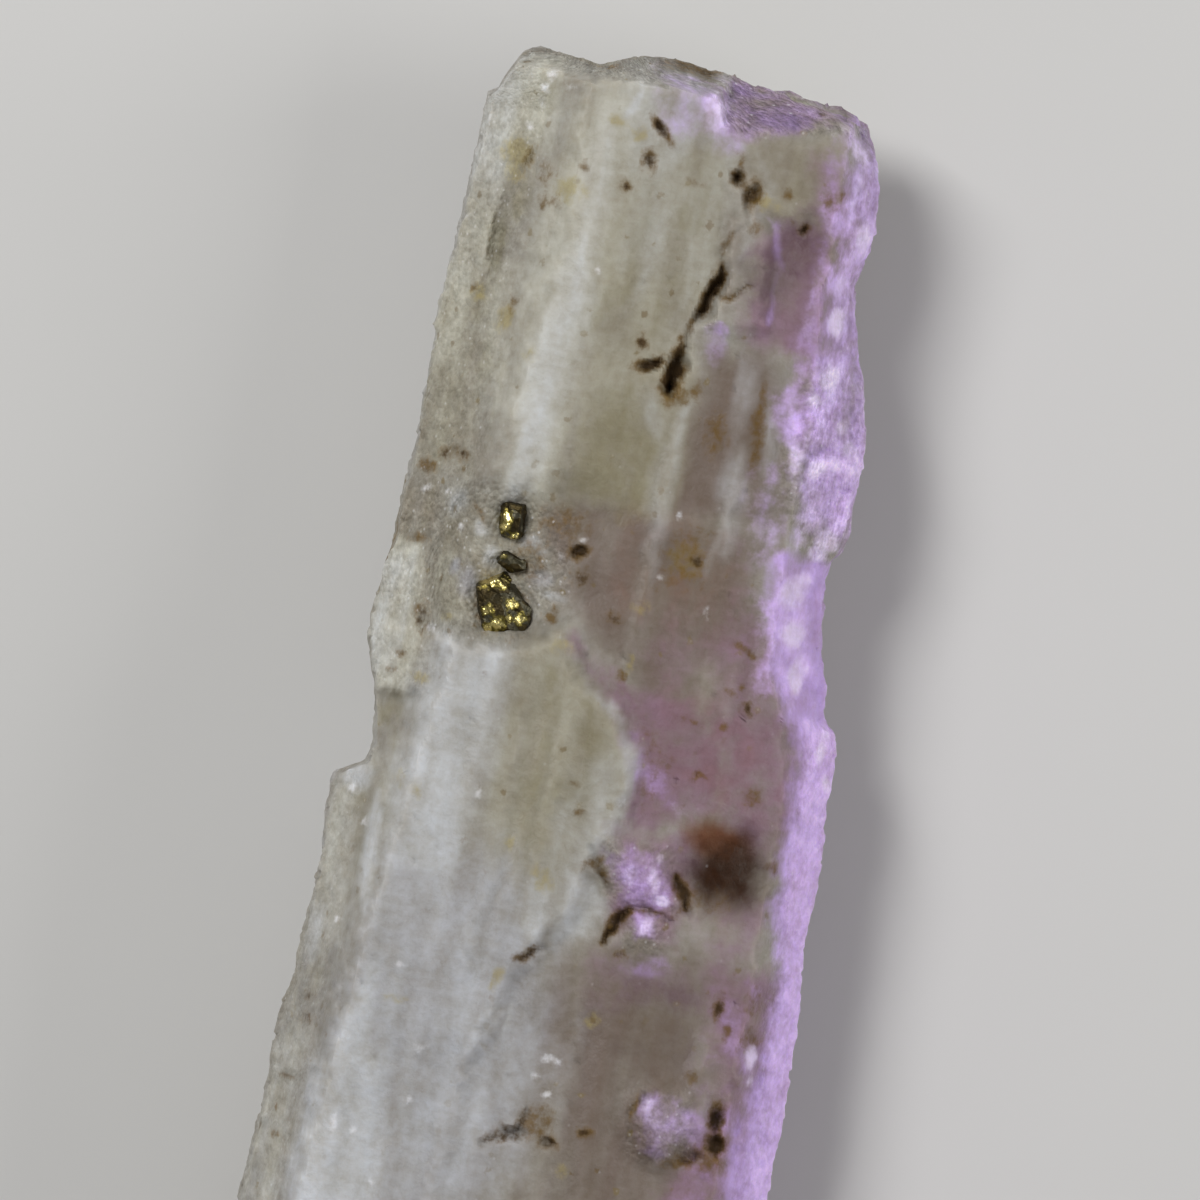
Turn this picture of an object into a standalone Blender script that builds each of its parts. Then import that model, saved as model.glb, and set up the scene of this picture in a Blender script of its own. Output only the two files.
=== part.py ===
"""A danburite crystal with three grains of pyrite set in it, lying on its flat back.

The model is in metres with +Z up. The crystal's length runs along +Y to its upper end, and +X is to the
right seen from above. The origin is on the resting plane under the middle of the crystal. Every length
below is in millimetres, and becomes metres when a mesh is made.
"""

import math

import bmesh
import bpy
import numpy as np
from mathutils import Euler, Matrix, Vector

MM = 0.001

# Driving dimensions of the prism.
CREST_HALF_WIDTH = 0.7
RIGHT_FACE_SLOPE = 0.18
WALL_FOOT = 3.4
RIGHT_WALL_TOP = 4.6
LEAST_FRONT = 4.2
BACK_INSET = 2.4
BACK_SLOPE = WALL_FOOT / BACK_INSET
BACK_SPARE = 0.3
END_BACK_INSET = 1.7
SIDE_BULGE = 0.12
SIDE_SWELL = 0.16
END_BULGE = 0.1
END_SWELL = 0.35

# Driving dimensions of the mesh.
COLUMNS = 100
ROWS = 290
WALL_ROWS = 5
CRYSTAL_TRIANGLES = 9200

# The outline seen from above. Sides are (y, x), from the lower end up; ends are (x, y), left to right.
# The shape of an end is felt over this share of the length.
END_REACH = 1 / 12
LEFT_SIDE = (
    (-21.5, -6.2), (-20.5, -7.0), (-17.0, -7.5), (-12.8, -7.54), (-9.7, -7.38), (-6.7, -7.23),
    (-6.0, -7.03), (-0.1, -6.91), (0.33, -6.8), (0.62, -6.35), (0.8, -5.98), (1.45, -5.94),
    (3.2, -6.2), (4.4, -6.52), (6.84, -6.48), (7.5, -6.3), (8.7, -6.33), (9.9, -6.14),
    (14.2, -6.07), (17.9, -5.86), (21.0, -5.65),
)
RIGHT_SIDE = (
    (-21.4, 6.3), (-19.5, 7.1), (-16.0, 7.6), (-12.0, 7.73), (-2.7, 7.67), (1.3, 7.56),
    (2.2, 7.65), (3.4, 7.57), (3.85, 7.41), (4.2, 7.04), (5.1, 6.83), (7.2, 6.54),
    (8.4, 6.4), (9.0, 6.48), (9.4, 6.75), (10.3, 6.85), (12.7, 6.89), (13.9, 6.58),
    (15.05, 6.23), (17.25, 5.77), (17.9, 5.94), (18.7, 6.11), (20.18, 6.01), (21.34, 5.67),
    (21.84, 5.4),
)
UPPER_END = (
    (-5.65, 21.0), (-5.39, 21.62), (-5.02, 22.29), (-4.52, 22.62), (-3.45, 22.55), (-2.68, 22.42),
    (-2.33, 22.55), (-1.54, 22.92), (-0.8, 23.0), (0.0, 22.83), (1.24, 22.7), (1.88, 22.5),
    (2.94, 22.55), (3.42, 22.35), (4.66, 22.2), (5.4, 21.84),
)
LOWER_END = (
    (-6.2, -21.5), (-4.5, -22.3), (-2.5, -22.1), (-0.8, -22.9), (1.5, -23.0), (3.0, -22.2),
    (4.8, -22.4), (6.3, -21.4),
)

# The prism's edges: (y, x) of straight edges in plan, and (y, z) of heights that change along it.
LEFT_REFERENCE = ((-22.0, -8.06), (21.0, -5.71))
RIGHT_REFERENCE = ((-22.0, 7.5), (22.0, 5.7))
CREST = (
    (-22.0, -5.7), (-10.3, -5.1), (-3.16, -4.47), (3.69, -3.49), (9.83, -3.15), (12.96, -2.6),
    (17.0, -2.07), (20.6, -2.16), (23.0, -2.3),
)
CREST_HEIGHT = ((-23.0, 8.5), (-14.0, 8.9), (4.0, 8.4), (21.0, 7.7), (23.0, 7.5))
LEFT_WALL_TOP = ((-22.0, 5.8), (21.0, 5.1))
FLANK_EDGE = (
    (-20.0, 6.0), (-9.0, 6.25), (2.0, 6.3), (4.2, 5.9), (5.2, 5.3), (8.7, 5.15), (12.5, 5.3),
    (17.3, 5.0), (22.0, 5.0),
)
FLAT_BACK_ENDS = (-20.9, 20.6)

# Broken upper end: (x, y) where each face starts, with its fall in millimetres per millimetre.
UPPER_FACES = (
    (((-5.7, 21.3), (-2.0, 22.0), (1.2, 22.15), (6.0, 21.8)), 3.6),
    (((-6.0, 22.6), (0.8, 22.4), (1.3, 21.25), (2.0, 21.1), (3.2, 21.5), (5.4, 21.9)), 1.5),
)
# Broken lower end: the way each face looks, how far out along it the face starts, and its fall.
LOWER_FACES = (
    ((-0.5, -0.87), 21.1, 1.1),
    ((0.1, -0.99), 21.5, 2.6),
    ((0.62, -0.78), 18.4, 0.8),
    ((-0.2, -0.98), 20.9, 0.9),
)

# Broken ledges in the sloping back faces: (y, inset) along the left one and the right one. The ledges run
# at a slant, so a point counts as further up the crystal by this much for each millimetre it lies outwards.
LEDGE_SLANT = 1.1
LEFT_LEDGES = (
    (-22.0, 0.0), (-12.0, 0.2), (-11.6, 0.5), (-4.0, 0.2), (-3.2, 0.0), (7.0, -0.1), (7.3, 0.25),
    (13.0, 0.3), (16.0, 0.0),
)
RIGHT_LEDGES = (
    (-22.0, 0.3), (-13.0, 0.1), (-12.5, -0.1), (0.0, 0.1), (0.3, 0.5), (8.0, 0.3), (11.0, 0.0),
    (17.0, 0.0), (17.3, 0.35),
)

# Raised and sunken fields of the front: outline, height, and how wide the riser along the outline is.
FIELDS = {
    "block right of the long crack": (
        ((1.95, 18.6), (2.6, 18.9), (3.1, 18.3), (3.25, 17.2), (3.3, 16.2), (3.5, 15.4), (2.6, 15.2),
         (1.5, 15.3), (1.5, 16.0), (1.9, 17.0)), 0.3, 0.3),
    "hollow beside that block": (
        ((3.3, 18.6), (4.2, 18.9), (5.0, 18.0), (5.1, 16.5), (4.9, 15.3), (3.7, 15.0), (3.5, 16.0),
         (3.35, 17.3)), -0.5, 0.45),
    "upper right corner": (
        ((2.1, 21.0), (3.3, 21.4), (4.7, 21.7), (5.2, 20.5), (5.1, 19.2), (4.0, 18.9), (2.9, 19.0),
         (2.4, 19.6)), 0.25, 0.35),
    "upper left corner": (
        ((-5.6, 21.9), (-4.4, 22.3), (-4.3, 20.9), (-4.5, 19.4), (-5.0, 18.6), (-5.9, 18.9)), -0.2, 0.4),
    "white block on the left edge": (
        ((-6.6, 7.4), (-5.4, 7.3), (-4.95, 6.4), (-4.8, 4.9), (-4.7, 3.3), (-5.3, 3.05), (-6.1, 3.1),
         (-6.8, 4.6)), 0.35, 0.4),
    "smooth facet under it": (
        ((-6.2, 3.0), (-5.0, 3.0), (-5.0, 2.0), (-5.8, 1.0)), -0.3, 0.35),
    "lump beside the recess": (
        ((1.4, -0.4), (2.3, -0.15), (3.0, -0.4), (3.35, -1.1), (3.6, -1.75), (2.9, -2.1), (2.0, -1.85),
         (1.5, -1.2)), 0.6, 0.7),
    "small lump below it": (
        ((2.55, -2.35), (3.4, -2.3), (3.25, -3.0), (2.8, -3.45), (2.45, -3.1)), 0.4, 0.5),
    "ringed lump": (
        ((3.6, -7.9), (4.2, -7.4), (4.9, -7.55), (5.35, -8.3), (5.15, -9.1), (4.6, -9.5), (3.9, -9.25),
         (3.55, -8.6)), 0.75, 0.8),
    "low lump above it": (
        ((5.2, -5.6), (6.3, -5.2), (6.7, -6.4), (6.2, -7.5), (5.4, -7.6), (4.9, -6.8)), 0.35, 0.5),
}

# The layer that lies over the lower left of the crystal, and where along the length it fades out.
LAYER = (
    (-9.0, 5.1), (-4.6, 5.15), (-3.4, 5.0), (-2.0, 5.25), (-0.95, 5.75), (-0.5, 5.1), (-0.2, 4.4),
    (0.6, 3.9), (1.2, 3.2), (1.75, 2.4), (1.9, 1.4), (1.75, 0.3), (1.2, -0.7), (1.0, -1.6), (0.6, -2.8),
    (-0.1, -3.8), (-0.8, -4.9), (-1.2, -6.5), (-1.6, -8.5), (-2.2, -12.0), (-9.0, -12.0),
)
LAYER_HEIGHT = 0.65
LAYER_RISER = 0.4
LAYER_FADE = ((-10.0, 0.0), (-4.0, 1.0))

# The low stretch of the crest that holds the pyrite: (x, y) of its two ends, and (x, share) of its depth.
SADDLE_UPPER_END = (
    (-6.4, 8.7), (-4.5, 9.1), (-4.0, 9.5), (-3.3, 9.2), (-2.4, 9.35), (-1.6, 9.8), (-0.4, 9.9), (1.5, 9.2),
)
SADDLE_LOWER_END = (
    (-6.4, 5.3), (-4.6, 5.15), (-3.4, 5.0), (-2.0, 5.3), (-0.95, 5.8), (-0.3, 6.3), (1.5, 7.0),
)
SADDLE_SHARE = ((-6.0, 0.0), (-4.8, 1.0), (-1.2, 1.0), (1.2, 0.0))
SADDLE_DEPTH = 0.75
SADDLE_RISER = 0.45

# Ribs and grooves along the crystal: (y, x) line from its lower end up, width, height (negative in a groove).
RIB_TAPER = 2.0
RIBS = (
    (((9.3, -3.2), (13.0, -2.9), (17.0, -2.3), (21.4, -2.2)), 1.7, 0.3),
    (((9.2, -4.6), (11.0, -4.3), (13.2, -4.6), (15.0, -4.75), (17.5, -4.8), (20.0, -4.45), (21.8, -4.2)),
     0.9, -0.4),
    (((-12.0, -6.2), (-6.0, -6.05), (-3.0, -5.85), (0.6, -5.8)), 0.6, -0.28),
    (((-19.0, -5.6), (-12.0, -5.45), (-4.0, -5.3), (1.2, -5.2)), 1.1, 0.25),
    (((8.0, 3.1), (10.0, 3.35), (12.6, 3.6)), 0.6, 0.2),
    (((5.0, 1.1), (9.0, 1.3), (13.0, 1.35)), 0.6, 0.2),
    (((2.0, 4.7), (7.0, 4.5), (11.0, 4.3), (15.0, 4.2)), 1.0, -0.2),
    (((-6.5, -2.1), (0.0, -1.5), (4.9, -1.3)), 0.8, -0.22),
    (((-3.6, -0.8), (0.0, -0.5), (4.0, -0.4)), 0.7, 0.2),
    (((-18.5, -4.4), (-9.0, -4.1), (-1.0, -3.6), (4.8, -3.2)), 1.1, -0.2),
    (((-19.5, -2.5), (-12.0, -2.2), (-5.0, -1.6)), 1.0, 0.2),
    (((-19.5, 1.4), (-12.0, 1.6), (-3.8, 1.8)), 1.2, -0.25),
    (((-19.0, 5.3), (-9.6, 5.3)), 1.1, 0.25),
)

# Flutes that follow the crystal's taper: how many across it, how long each runs, and their depth.
FLUTES_ACROSS = 15.0
FLUTE_LENGTH = 12.0
FLUTE_DEPTH = 0.26

# Cracks: path, width and depth.
CRACKS = (
    (((2.05, 20.4), (1.9, 19.6), (2.35, 18.9), (1.95, 18.2), (1.85, 17.3), (1.75, 16.6), (1.6, 15.7),
      (1.15, 15.1), (1.05, 14.5)), 0.42, 0.5),
    (((1.9, 16.3), (2.4, 16.35), (2.85, 16.7)), 0.3, 0.25),
    (((1.0, -0.7), (1.35, -1.2), (1.8, -1.7)), 0.35, 0.35),
    (((1.8, -3.2), (2.0, -2.6), (2.4, -2.2), (2.9, -2.25), (3.5, -2.4), (3.9, -1.75), (3.7, -1.2)),
     0.4, 0.5),
    (((-0.65, -4.25), (-0.1, -3.8)), 0.35, 0.35),
    (((-0.9, -9.85), (-0.3, -9.45), (0.4, -9.4), (0.8, -9.8)), 0.35, 0.3),
    (((3.5, -9.0), (3.45, -8.2), (3.75, -7.6)), 0.4, 0.25),
)

# Pits: centre, radii, turn in degrees, depth.
PITS = (
    ((-0.5, 20.9), (0.36, 0.2), -45.0, 0.4),
    ((-0.75, 19.8), (0.16, 0.24), 0.0, 0.3),
    ((2.0, 19.9), (0.32, 0.42), 20.0, 0.6),
    ((2.4, 19.4), (0.3, 0.42), -10.0, 0.45),
    ((1.7, 16.3), (0.3, 0.9), -12.0, 1.0),
    ((1.1, 13.9), (0.32, 0.75), 0.0, 0.9),
    ((0.4, 13.85), (0.42, 0.26), 20.0, 0.6),
    ((0.85, 13.2), (0.36, 0.28), 0.0, 0.6),
    ((4.85, 19.55), (0.2, 0.28), -30.0, 0.3),
    ((-4.4, 19.4), (0.2, 0.3), 0.0, 0.3),
    ((-4.85, 16.8), (0.3, 0.9), 0.0, 0.3),
    ((-0.8, 8.15), (0.3, 0.24), 0.0, 0.4),
    ((-5.1, 5.2), (0.34, 0.36), 0.0, 0.35),
    ((4.75, -0.4), (1.15, 0.95), 15.0, 1.3),
    ((3.95, -1.55), (0.2, 0.42), 20.0, 0.4),
    ((5.95, -8.1), (0.26, 0.45), 0.0, 0.5),
    ((6.1, -8.8), (0.32, 0.3), 0.0, 0.6),
    ((5.35, -9.35), (0.42, 0.22), 15.0, 0.4),
    ((0.0, -9.4), (0.4, 0.24), 0.0, 0.35),
)

# The uneven stretch of the right flank, and the slow swell of the whole front.
ROUGH_FLANK = ((5.0, 14.6), (6.0, 14.9), (7.4, 12.5), (7.4, 9.0), (6.1, 8.9), (5.2, 10.0), (4.9, 12.0))
ROUGH_FLANK_HEIGHT = 0.45
SWELL_LENGTH = 1.6
SWELL_HEIGHT = 0.1

# Pyrite grains: the tilted blocks that each grain is the hull of, as centre, size and turns in degrees.
GRAIN_CLEARANCE = 0.08
GRAINS = {
    "pyrite_grain_upper": (
        ((-2.92, 8.68, 7.42), (0.54, 1.0, 0.8), (12.0, -18.0, -4.0)),
        ((-3.12, 8.6, 7.4), (0.4, 0.8, 0.74), (-20.0, 10.0, 14.0)),
    ),
    "pyrite_grain_middle": (
        ((-2.94, 7.4, 7.46), (0.56, 0.34, 0.5), (15.0, 12.0, -24.0)),
        ((-2.64, 7.3, 7.42), (0.36, 0.26, 0.5), (-10.0, 20.0, 8.0)),
    ),
    "pyrite_grain_lower": (
        ((-3.17, 6.4, 7.4), (0.74, 0.9, 0.86), (14.0, -16.0, 26.0)),
        ((-2.6, 5.72, 7.38), (0.94, 0.82, 0.86), (-12.0, 14.0, -12.0)),
        ((-3.1, 5.62, 7.36), (0.64, 0.7, 0.8), (8.0, 10.0, 12.0)),
    ),
}


def value_at(points, places):
    """Value at each place along a line given as (place, value) points."""
    known, values = zip(*points)
    return np.interp(places, known, values)


def ramp(distance, width):
    """Goes from 0 to 1 across a riser of this width, centred on distance 0."""
    return np.clip(distance / width + 0.5, 0.0, 1.0)


def segment_distance(x, y, start, end):
    """Plan distance from each point to a straight segment."""
    run = (end[0] - start[0], end[1] - start[1])
    share = ((x - start[0]) * run[0] + (y - start[1]) * run[1]) / (run[0] ** 2 + run[1] ** 2)
    share = np.clip(share, 0.0, 1.0)
    return np.hypot(x - start[0] - share * run[0], y - start[1] - share * run[1])


def path_distance(x, y, path):
    """Plan distance from each point to an open path."""
    return np.minimum.reduce([segment_distance(x, y, a, b) for a, b in zip(path, path[1:])])


def depth_inside(x, y, outline):
    """Plan distance from each point to a closed outline, positive inside it."""
    inside = np.zeros(x.shape, bool)
    closed = outline + outline[:1]
    for (ax, ay), (bx, by) in zip(closed, closed[1:]):
        spans = (ay > y) != (by > y)
        inside ^= spans & (x < ax + (y - ay) * (bx - ax) / ((by - ay) or 1.0))
    distance = path_distance(x, y, closed)
    return np.where(inside, distance, -distance)


def swell(x, y, seed):
    """Smooth irregular swell between -1 and 1, about one rise per unit of x and y."""
    table = np.random.default_rng(seed).uniform(-1.0, 1.0, (64, 64))
    column, row = np.floor(x).astype(int), np.floor(y).astype(int)
    across, along = x - column, y - row
    across, along = across * across * (3 - 2 * across), along * along * (3 - 2 * along)

    def corner(i, j):
        return table[(column + i) % 64, (row + j) % 64]

    near = corner(0, 0) * (1 - across) + corner(1, 0) * across
    far = corner(0, 1) * (1 - across) + corner(1, 1) * across
    return near * (1 - along) + far * along


def plan(across, along):
    """Plan position of a point that lies 0 to 1 across the crystal and 0 to 1 along it."""
    left_y = LEFT_SIDE[0][0] + (LEFT_SIDE[-1][0] - LEFT_SIDE[0][0]) * along
    right_y = RIGHT_SIDE[0][0] + (RIGHT_SIDE[-1][0] - RIGHT_SIDE[0][0]) * along
    left_x, right_x = value_at(LEFT_SIDE, left_y), value_at(RIGHT_SIDE, right_y)
    x = left_x + (right_x - left_x) * across
    y = left_y + (right_y - left_y) * across
    upper = value_at(UPPER_END, x) - (LEFT_SIDE[-1][0] + (RIGHT_SIDE[-1][0] - LEFT_SIDE[-1][0]) * across)
    lower = value_at(LOWER_END, x) - (LEFT_SIDE[0][0] + (RIGHT_SIDE[0][0] - LEFT_SIDE[0][0]) * across)
    near_upper = np.clip(1 - (1 - along) / END_REACH, 0, 1)
    near_lower = np.clip(1 - along / END_REACH, 0, 1)
    return x, y + near_upper * upper + near_lower * lower


def prism_front(x, y):
    """Height of the crest, the left face, the broad right face, the right flank and the broken ends."""
    crest_x, crest = value_at(CREST, y), value_at(CREST_HEIGHT, y)
    wall_top, left_x = value_at(LEFT_WALL_TOP, y), value_at(LEFT_REFERENCE, y)
    left_run = crest_x - CREST_HALF_WIDTH - left_x
    left_face = wall_top + (crest - wall_top) * (x - left_x) / left_run
    right_face = crest - RIGHT_FACE_SLOPE * (x - crest_x - CREST_HALF_WIDTH)
    flank_x, side_x = value_at(FLANK_EDGE, y), value_at(RIGHT_SIDE, y)
    flank_top = crest - RIGHT_FACE_SLOPE * (flank_x - crest_x - CREST_HALF_WIDTH)
    flank = RIGHT_WALL_TOP + (flank_top - RIGHT_WALL_TOP) * (side_x - x) / (side_x - flank_x)
    height = np.minimum.reduce([crest, left_face, right_face, flank])
    for start, fall in UPPER_FACES:
        height = np.minimum(height, right_face - fall * (y - value_at(start, x)))
    for (look_x, look_y), start, fall in LOWER_FACES:
        height = np.minimum(height, right_face - fall * (x * look_x + y * look_y - start))
    return height


def saddle(x, y):
    """Share of the saddle's depth that each point lies at."""
    upper = ramp(value_at(SADDLE_UPPER_END, x) - y, SADDLE_RISER)
    lower = ramp(y - value_at(SADDLE_LOWER_END, x), SADDLE_RISER)
    return upper * lower * value_at(SADDLE_SHARE, x)


def rib(x, y, line, width, rise):
    """A rib or groove along the crystal that tapers out at both ends."""
    ends = np.clip(np.minimum(y - line[0][0], line[-1][0] - y) / RIB_TAPER, 0, 1)
    return rise * ends * np.clip(1 - 2 * np.abs(x - value_at(line, y)) / width, 0, 1)


def flutes(x, y):
    """Fine valleys with sharp edges between them, along lines that follow the taper."""
    left, right = value_at(LEFT_REFERENCE, y), value_at(RIGHT_REFERENCE, y)
    share = (x - left) / (right - left)
    return np.abs(swell(share * FLUTES_ACROSS, y / FLUTE_LENGTH, 3))


def relief(x, y):
    """Everything that stands up from the prism's faces or is sunk in them."""
    height = LAYER_HEIGHT * ramp(depth_inside(x, y, LAYER), LAYER_RISER) * value_at(LAYER_FADE, y)
    height -= SADDLE_DEPTH * saddle(x, y)
    height -= FLUTE_DEPTH * flutes(x, y)
    for outline, rise, riser in FIELDS.values():
        height += rise * ramp(depth_inside(x, y, outline), riser)
    for line, width, rise in RIBS:
        height += rib(x, y, line, width, rise)
    for path, width, depth in CRACKS:
        height -= depth * np.clip(1 - 2 * path_distance(x, y, path) / width, 0, 1)
    for (pit_x, pit_y), (half_width, half_length), turn, depth in PITS:
        angle = math.radians(turn)
        side = ((x - pit_x) * math.cos(angle) + (y - pit_y) * math.sin(angle)) / half_width
        along = ((y - pit_y) * math.cos(angle) - (x - pit_x) * math.sin(angle)) / half_length
        height -= depth * np.clip(1.25 - 1.25 * np.hypot(side, along) ** 2, 0, 1)
    height += ROUGH_FLANK_HEIGHT * np.abs(swell(x, y * 1.2, 5)) * ramp(depth_inside(x, y, ROUGH_FLANK), 1.0)
    return height + SWELL_HEIGHT * swell(x / SWELL_LENGTH, y / SWELL_LENGTH, 11)


def front_height(x, y):
    """Height of the side that faces up."""
    return np.maximum(prism_front(x, y) + relief(x, y), LEAST_FRONT)


def back_height(x, y):
    """Height of the underside before it is cut flat: low in the middle, sloping up to each wall."""
    left = value_at(LEFT_REFERENCE, y) + BACK_INSET - x
    right = x - value_at(RIGHT_REFERENCE, y) + BACK_INSET
    left = left - value_at(LEFT_LEDGES, y + LEDGE_SLANT * left)
    right = right - value_at(RIGHT_LEDGES, y + LEDGE_SLANT * right)
    side = BACK_SLOPE * np.maximum(left, right)
    end = WALL_FOOT / END_BACK_INSET * np.maximum(FLAT_BACK_ENDS[0] - y, y - FLAT_BACK_ENDS[1])
    return np.clip(np.maximum(side, end), -BACK_SPARE, WALL_FOOT)


def crystal_point(across, along, up):
    """Place of the points of a unit block on the crystal; up is 0 on the back and 1 on the front."""
    x, y = plan(across, along)
    back, front = back_height(x, y), front_height(x, y)
    belly = np.sin(np.pi * up)
    side = belly * (SIDE_BULGE + SIDE_SWELL * swell(y / 2.5, up * 3, 7))
    end = belly * (END_BULGE + END_SWELL * swell(x / 1.8, up * 3, 9))
    x = x + side * (np.isclose(across, 1) * 1.0 - np.isclose(across, 0) * 1.0)
    y = y + end * (np.isclose(along, 1) * 1.0 - np.isclose(along, 0) * 1.0)
    return x, y, back + (front - back) * up


def unit_block():
    """A finely divided block from 0 to 1 along each axis."""
    block = bmesh.new()
    bmesh.ops.create_grid(block, x_segments=COLUMNS, y_segments=ROWS, size=0.5)
    skin = bmesh.ops.extrude_face_region(block, geom=block.faces[:])
    raised = [item for item in skin["geom"] if isinstance(item, bmesh.types.BMVert)]
    bmesh.ops.translate(block, vec=(0, 0, 1), verts=raised)
    walls = [edge for edge in block.edges if abs(edge.verts[0].co.z - edge.verts[1].co.z) > 0.5]
    bmesh.ops.subdivide_edges(block, edges=walls, cuts=WALL_ROWS - 1, use_grid_fill=True)
    bmesh.ops.translate(block, vec=(0.5, 0.5, 0), verts=block.verts)
    bmesh.ops.recalc_face_normals(block, faces=block.faces)
    return block


def new_object(name, shape, material):
    """Turns a bmesh into a named object with one material."""
    mesh = bpy.data.meshes.new(name)
    shape.to_mesh(mesh)
    shape.free()
    mesh.materials.append(material)
    piece = bpy.data.objects.new(name, mesh)
    bpy.context.scene.collection.objects.link(piece)
    return piece


def principled(name, colour, roughness, metallic):
    """A plain Principled material."""
    material = bpy.data.materials.new(name)
    material.use_nodes = True
    shader = material.node_tree.nodes["Principled BSDF"]
    shader.inputs["Base Color"].default_value = (*colour, 1.0)
    shader.inputs["Roughness"].default_value = roughness
    shader.inputs["Metallic"].default_value = metallic
    return material


def milky_danburite():
    return principled("milky_danburite", (0.36, 0.32, 0.28), 0.45, 0.0)


def tarnished_pyrite():
    return principled("tarnished_pyrite", (0.32, 0.26, 0.12), 0.35, 0.9)


def make_crystal(material):
    """The whole crystal as one solid, thinned to the triangles that its faces need."""
    block = unit_block()
    places = np.array([vert.co for vert in block.verts])
    for vert, point in zip(block.verts, np.column_stack(crystal_point(*places.T))):
        vert.co = Vector(point) * MM
    bmesh.ops.triangulate(block, faces=block.faces)
    triangles = len(block.faces)
    crystal = new_object("danburite_crystal", block, material)
    thin = crystal.modifiers.new("thin", "DECIMATE")
    thin.ratio = CRYSTAL_TRIANGLES / triangles
    return crystal


def grain_shape(blocks, growth):
    """The hull of a few tilted blocks, each grown by this much on every side."""
    shape = bmesh.new()
    for centre, size, turns in blocks:
        turn = Euler([math.radians(angle) for angle in turns]).to_matrix().to_4x4()
        grown = Matrix.Diagonal([side + 2 * growth for side in size] + [1.0])
        bmesh.ops.create_cube(shape, size=1.0, matrix=Matrix.Translation(centre) @ turn @ grown)
    bmesh.ops.delete(shape, geom=shape.faces[:] + shape.edges[:], context="EDGES_FACES")
    hull = bmesh.ops.convex_hull(shape, input=shape.verts)
    bmesh.ops.delete(shape, geom=hull["geom_interior"], context="VERTS")
    bmesh.ops.recalc_face_normals(shape, faces=shape.faces)
    bmesh.ops.scale(shape, vec=(MM, MM, MM), verts=shape.verts)
    return shape


def make_grain(name, blocks, material):
    """One grain of pyrite."""
    return new_object(name, grain_shape(blocks, 0.0), material)


def cut_from(crystal, name, cutter):
    """Takes the cutter's shape out of the crystal."""
    cutter.hide_render = True
    cutter.display_type = "WIRE"
    cut = crystal.modifiers.new(name, "BOOLEAN")
    cut.operation = "DIFFERENCE"
    cut.object = cutter


def flatten_back(crystal, material):
    """Cuts the underside off along the resting plane, so that the crystal lies on a true flat."""
    slab = bmesh.new()
    size = Matrix.Diagonal((20 * MM, 50 * MM, 2 * BACK_SPARE * MM, 1))
    bmesh.ops.create_cube(slab, size=1.0, matrix=Matrix.Translation((0, 0, -BACK_SPARE * MM)) @ size)
    cut_from(crystal, "flat_back", new_object("cutter_flat_back", slab, material))


def cut_pocket(crystal, name, blocks, material):
    """The hollow that a grain sits in, cut with a slightly larger copy of it."""
    cutter = new_object("cutter_" + name, grain_shape(blocks, GRAIN_CLEARANCE), material)
    cut_from(crystal, "pocket_" + name, cutter)


def main():
    for old in list(bpy.data.objects):
        bpy.data.objects.remove(old)
    danburite, pyrite = milky_danburite(), tarnished_pyrite()
    crystal = make_crystal(danburite)
    flatten_back(crystal, danburite)
    for name, blocks in GRAINS.items():
        make_grain(name, blocks, pyrite)
        cut_pocket(crystal, name, blocks, danburite)


main()
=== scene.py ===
"""The looks of a danburite crystal with three grains of pyrite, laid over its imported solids.

Run as a script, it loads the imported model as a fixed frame, makes the crystal's surface and the grains in
the same place, and sets up a plain studio. Places and sizes are in millimetres in the frame's own axes
unless they say otherwise: the crystal's length runs along +Y to its upper end, +X is to the right seen from
above, and +Z is up. They become metres when a mesh is made.
"""

import math

import bmesh
import bpy
import numpy as np
from bpy.props import FloatProperty, FloatVectorProperty, PointerProperty
from mathutils import Euler, Matrix, Vector, noise


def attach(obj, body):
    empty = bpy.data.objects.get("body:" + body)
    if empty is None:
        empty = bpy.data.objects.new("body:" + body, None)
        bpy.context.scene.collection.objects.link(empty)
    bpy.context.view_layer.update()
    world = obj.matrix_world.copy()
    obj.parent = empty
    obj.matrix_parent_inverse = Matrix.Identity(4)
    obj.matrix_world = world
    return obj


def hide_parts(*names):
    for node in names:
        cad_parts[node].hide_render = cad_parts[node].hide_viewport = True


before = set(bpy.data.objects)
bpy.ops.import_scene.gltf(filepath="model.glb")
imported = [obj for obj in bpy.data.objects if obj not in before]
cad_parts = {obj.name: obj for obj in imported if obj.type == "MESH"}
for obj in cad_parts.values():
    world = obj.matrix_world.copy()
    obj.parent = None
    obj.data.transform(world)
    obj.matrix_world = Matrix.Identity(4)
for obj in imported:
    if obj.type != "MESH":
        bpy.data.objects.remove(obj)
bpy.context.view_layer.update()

bl_info = {
    "name": "Danburite Crystal",
    "version": (1, 0, 0),
    "blender": (4, 5, 0),
    "location": "3D View > Sidebar > Danburite",
    "description": "Milky danburite crystal with tarnished pyrite grains, in a plain studio",
    "category": "Add Mesh",
}

MM = 0.001

# The prism, as in the solids.
CREST_HALF_WIDTH = 0.7
RIGHT_FACE_SLOPE = 0.18
WALL_FOOT = 3.4
RIGHT_WALL_TOP = 4.6
LEAST_FRONT = 4.2
BACK_INSET = 2.4
BACK_SLOPE = WALL_FOOT / BACK_INSET
END_BACK_INSET = 1.7

# The mesh of the surface: a fine front, and a back thinned to what is left of the triangles, which is all
# that lies below this share of the height.
COLUMNS = 150
ROWS = 470
WALL_ROWS = 8
CRYSTAL_TRIANGLES = 197000
THINNED_BELOW = 0.5
CREASE_ANGLE = math.radians(38)
# What lies lower than this is pressed flat, so that the crystal lies evenly.
FLAT_BACK_TOP = 0.02

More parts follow.
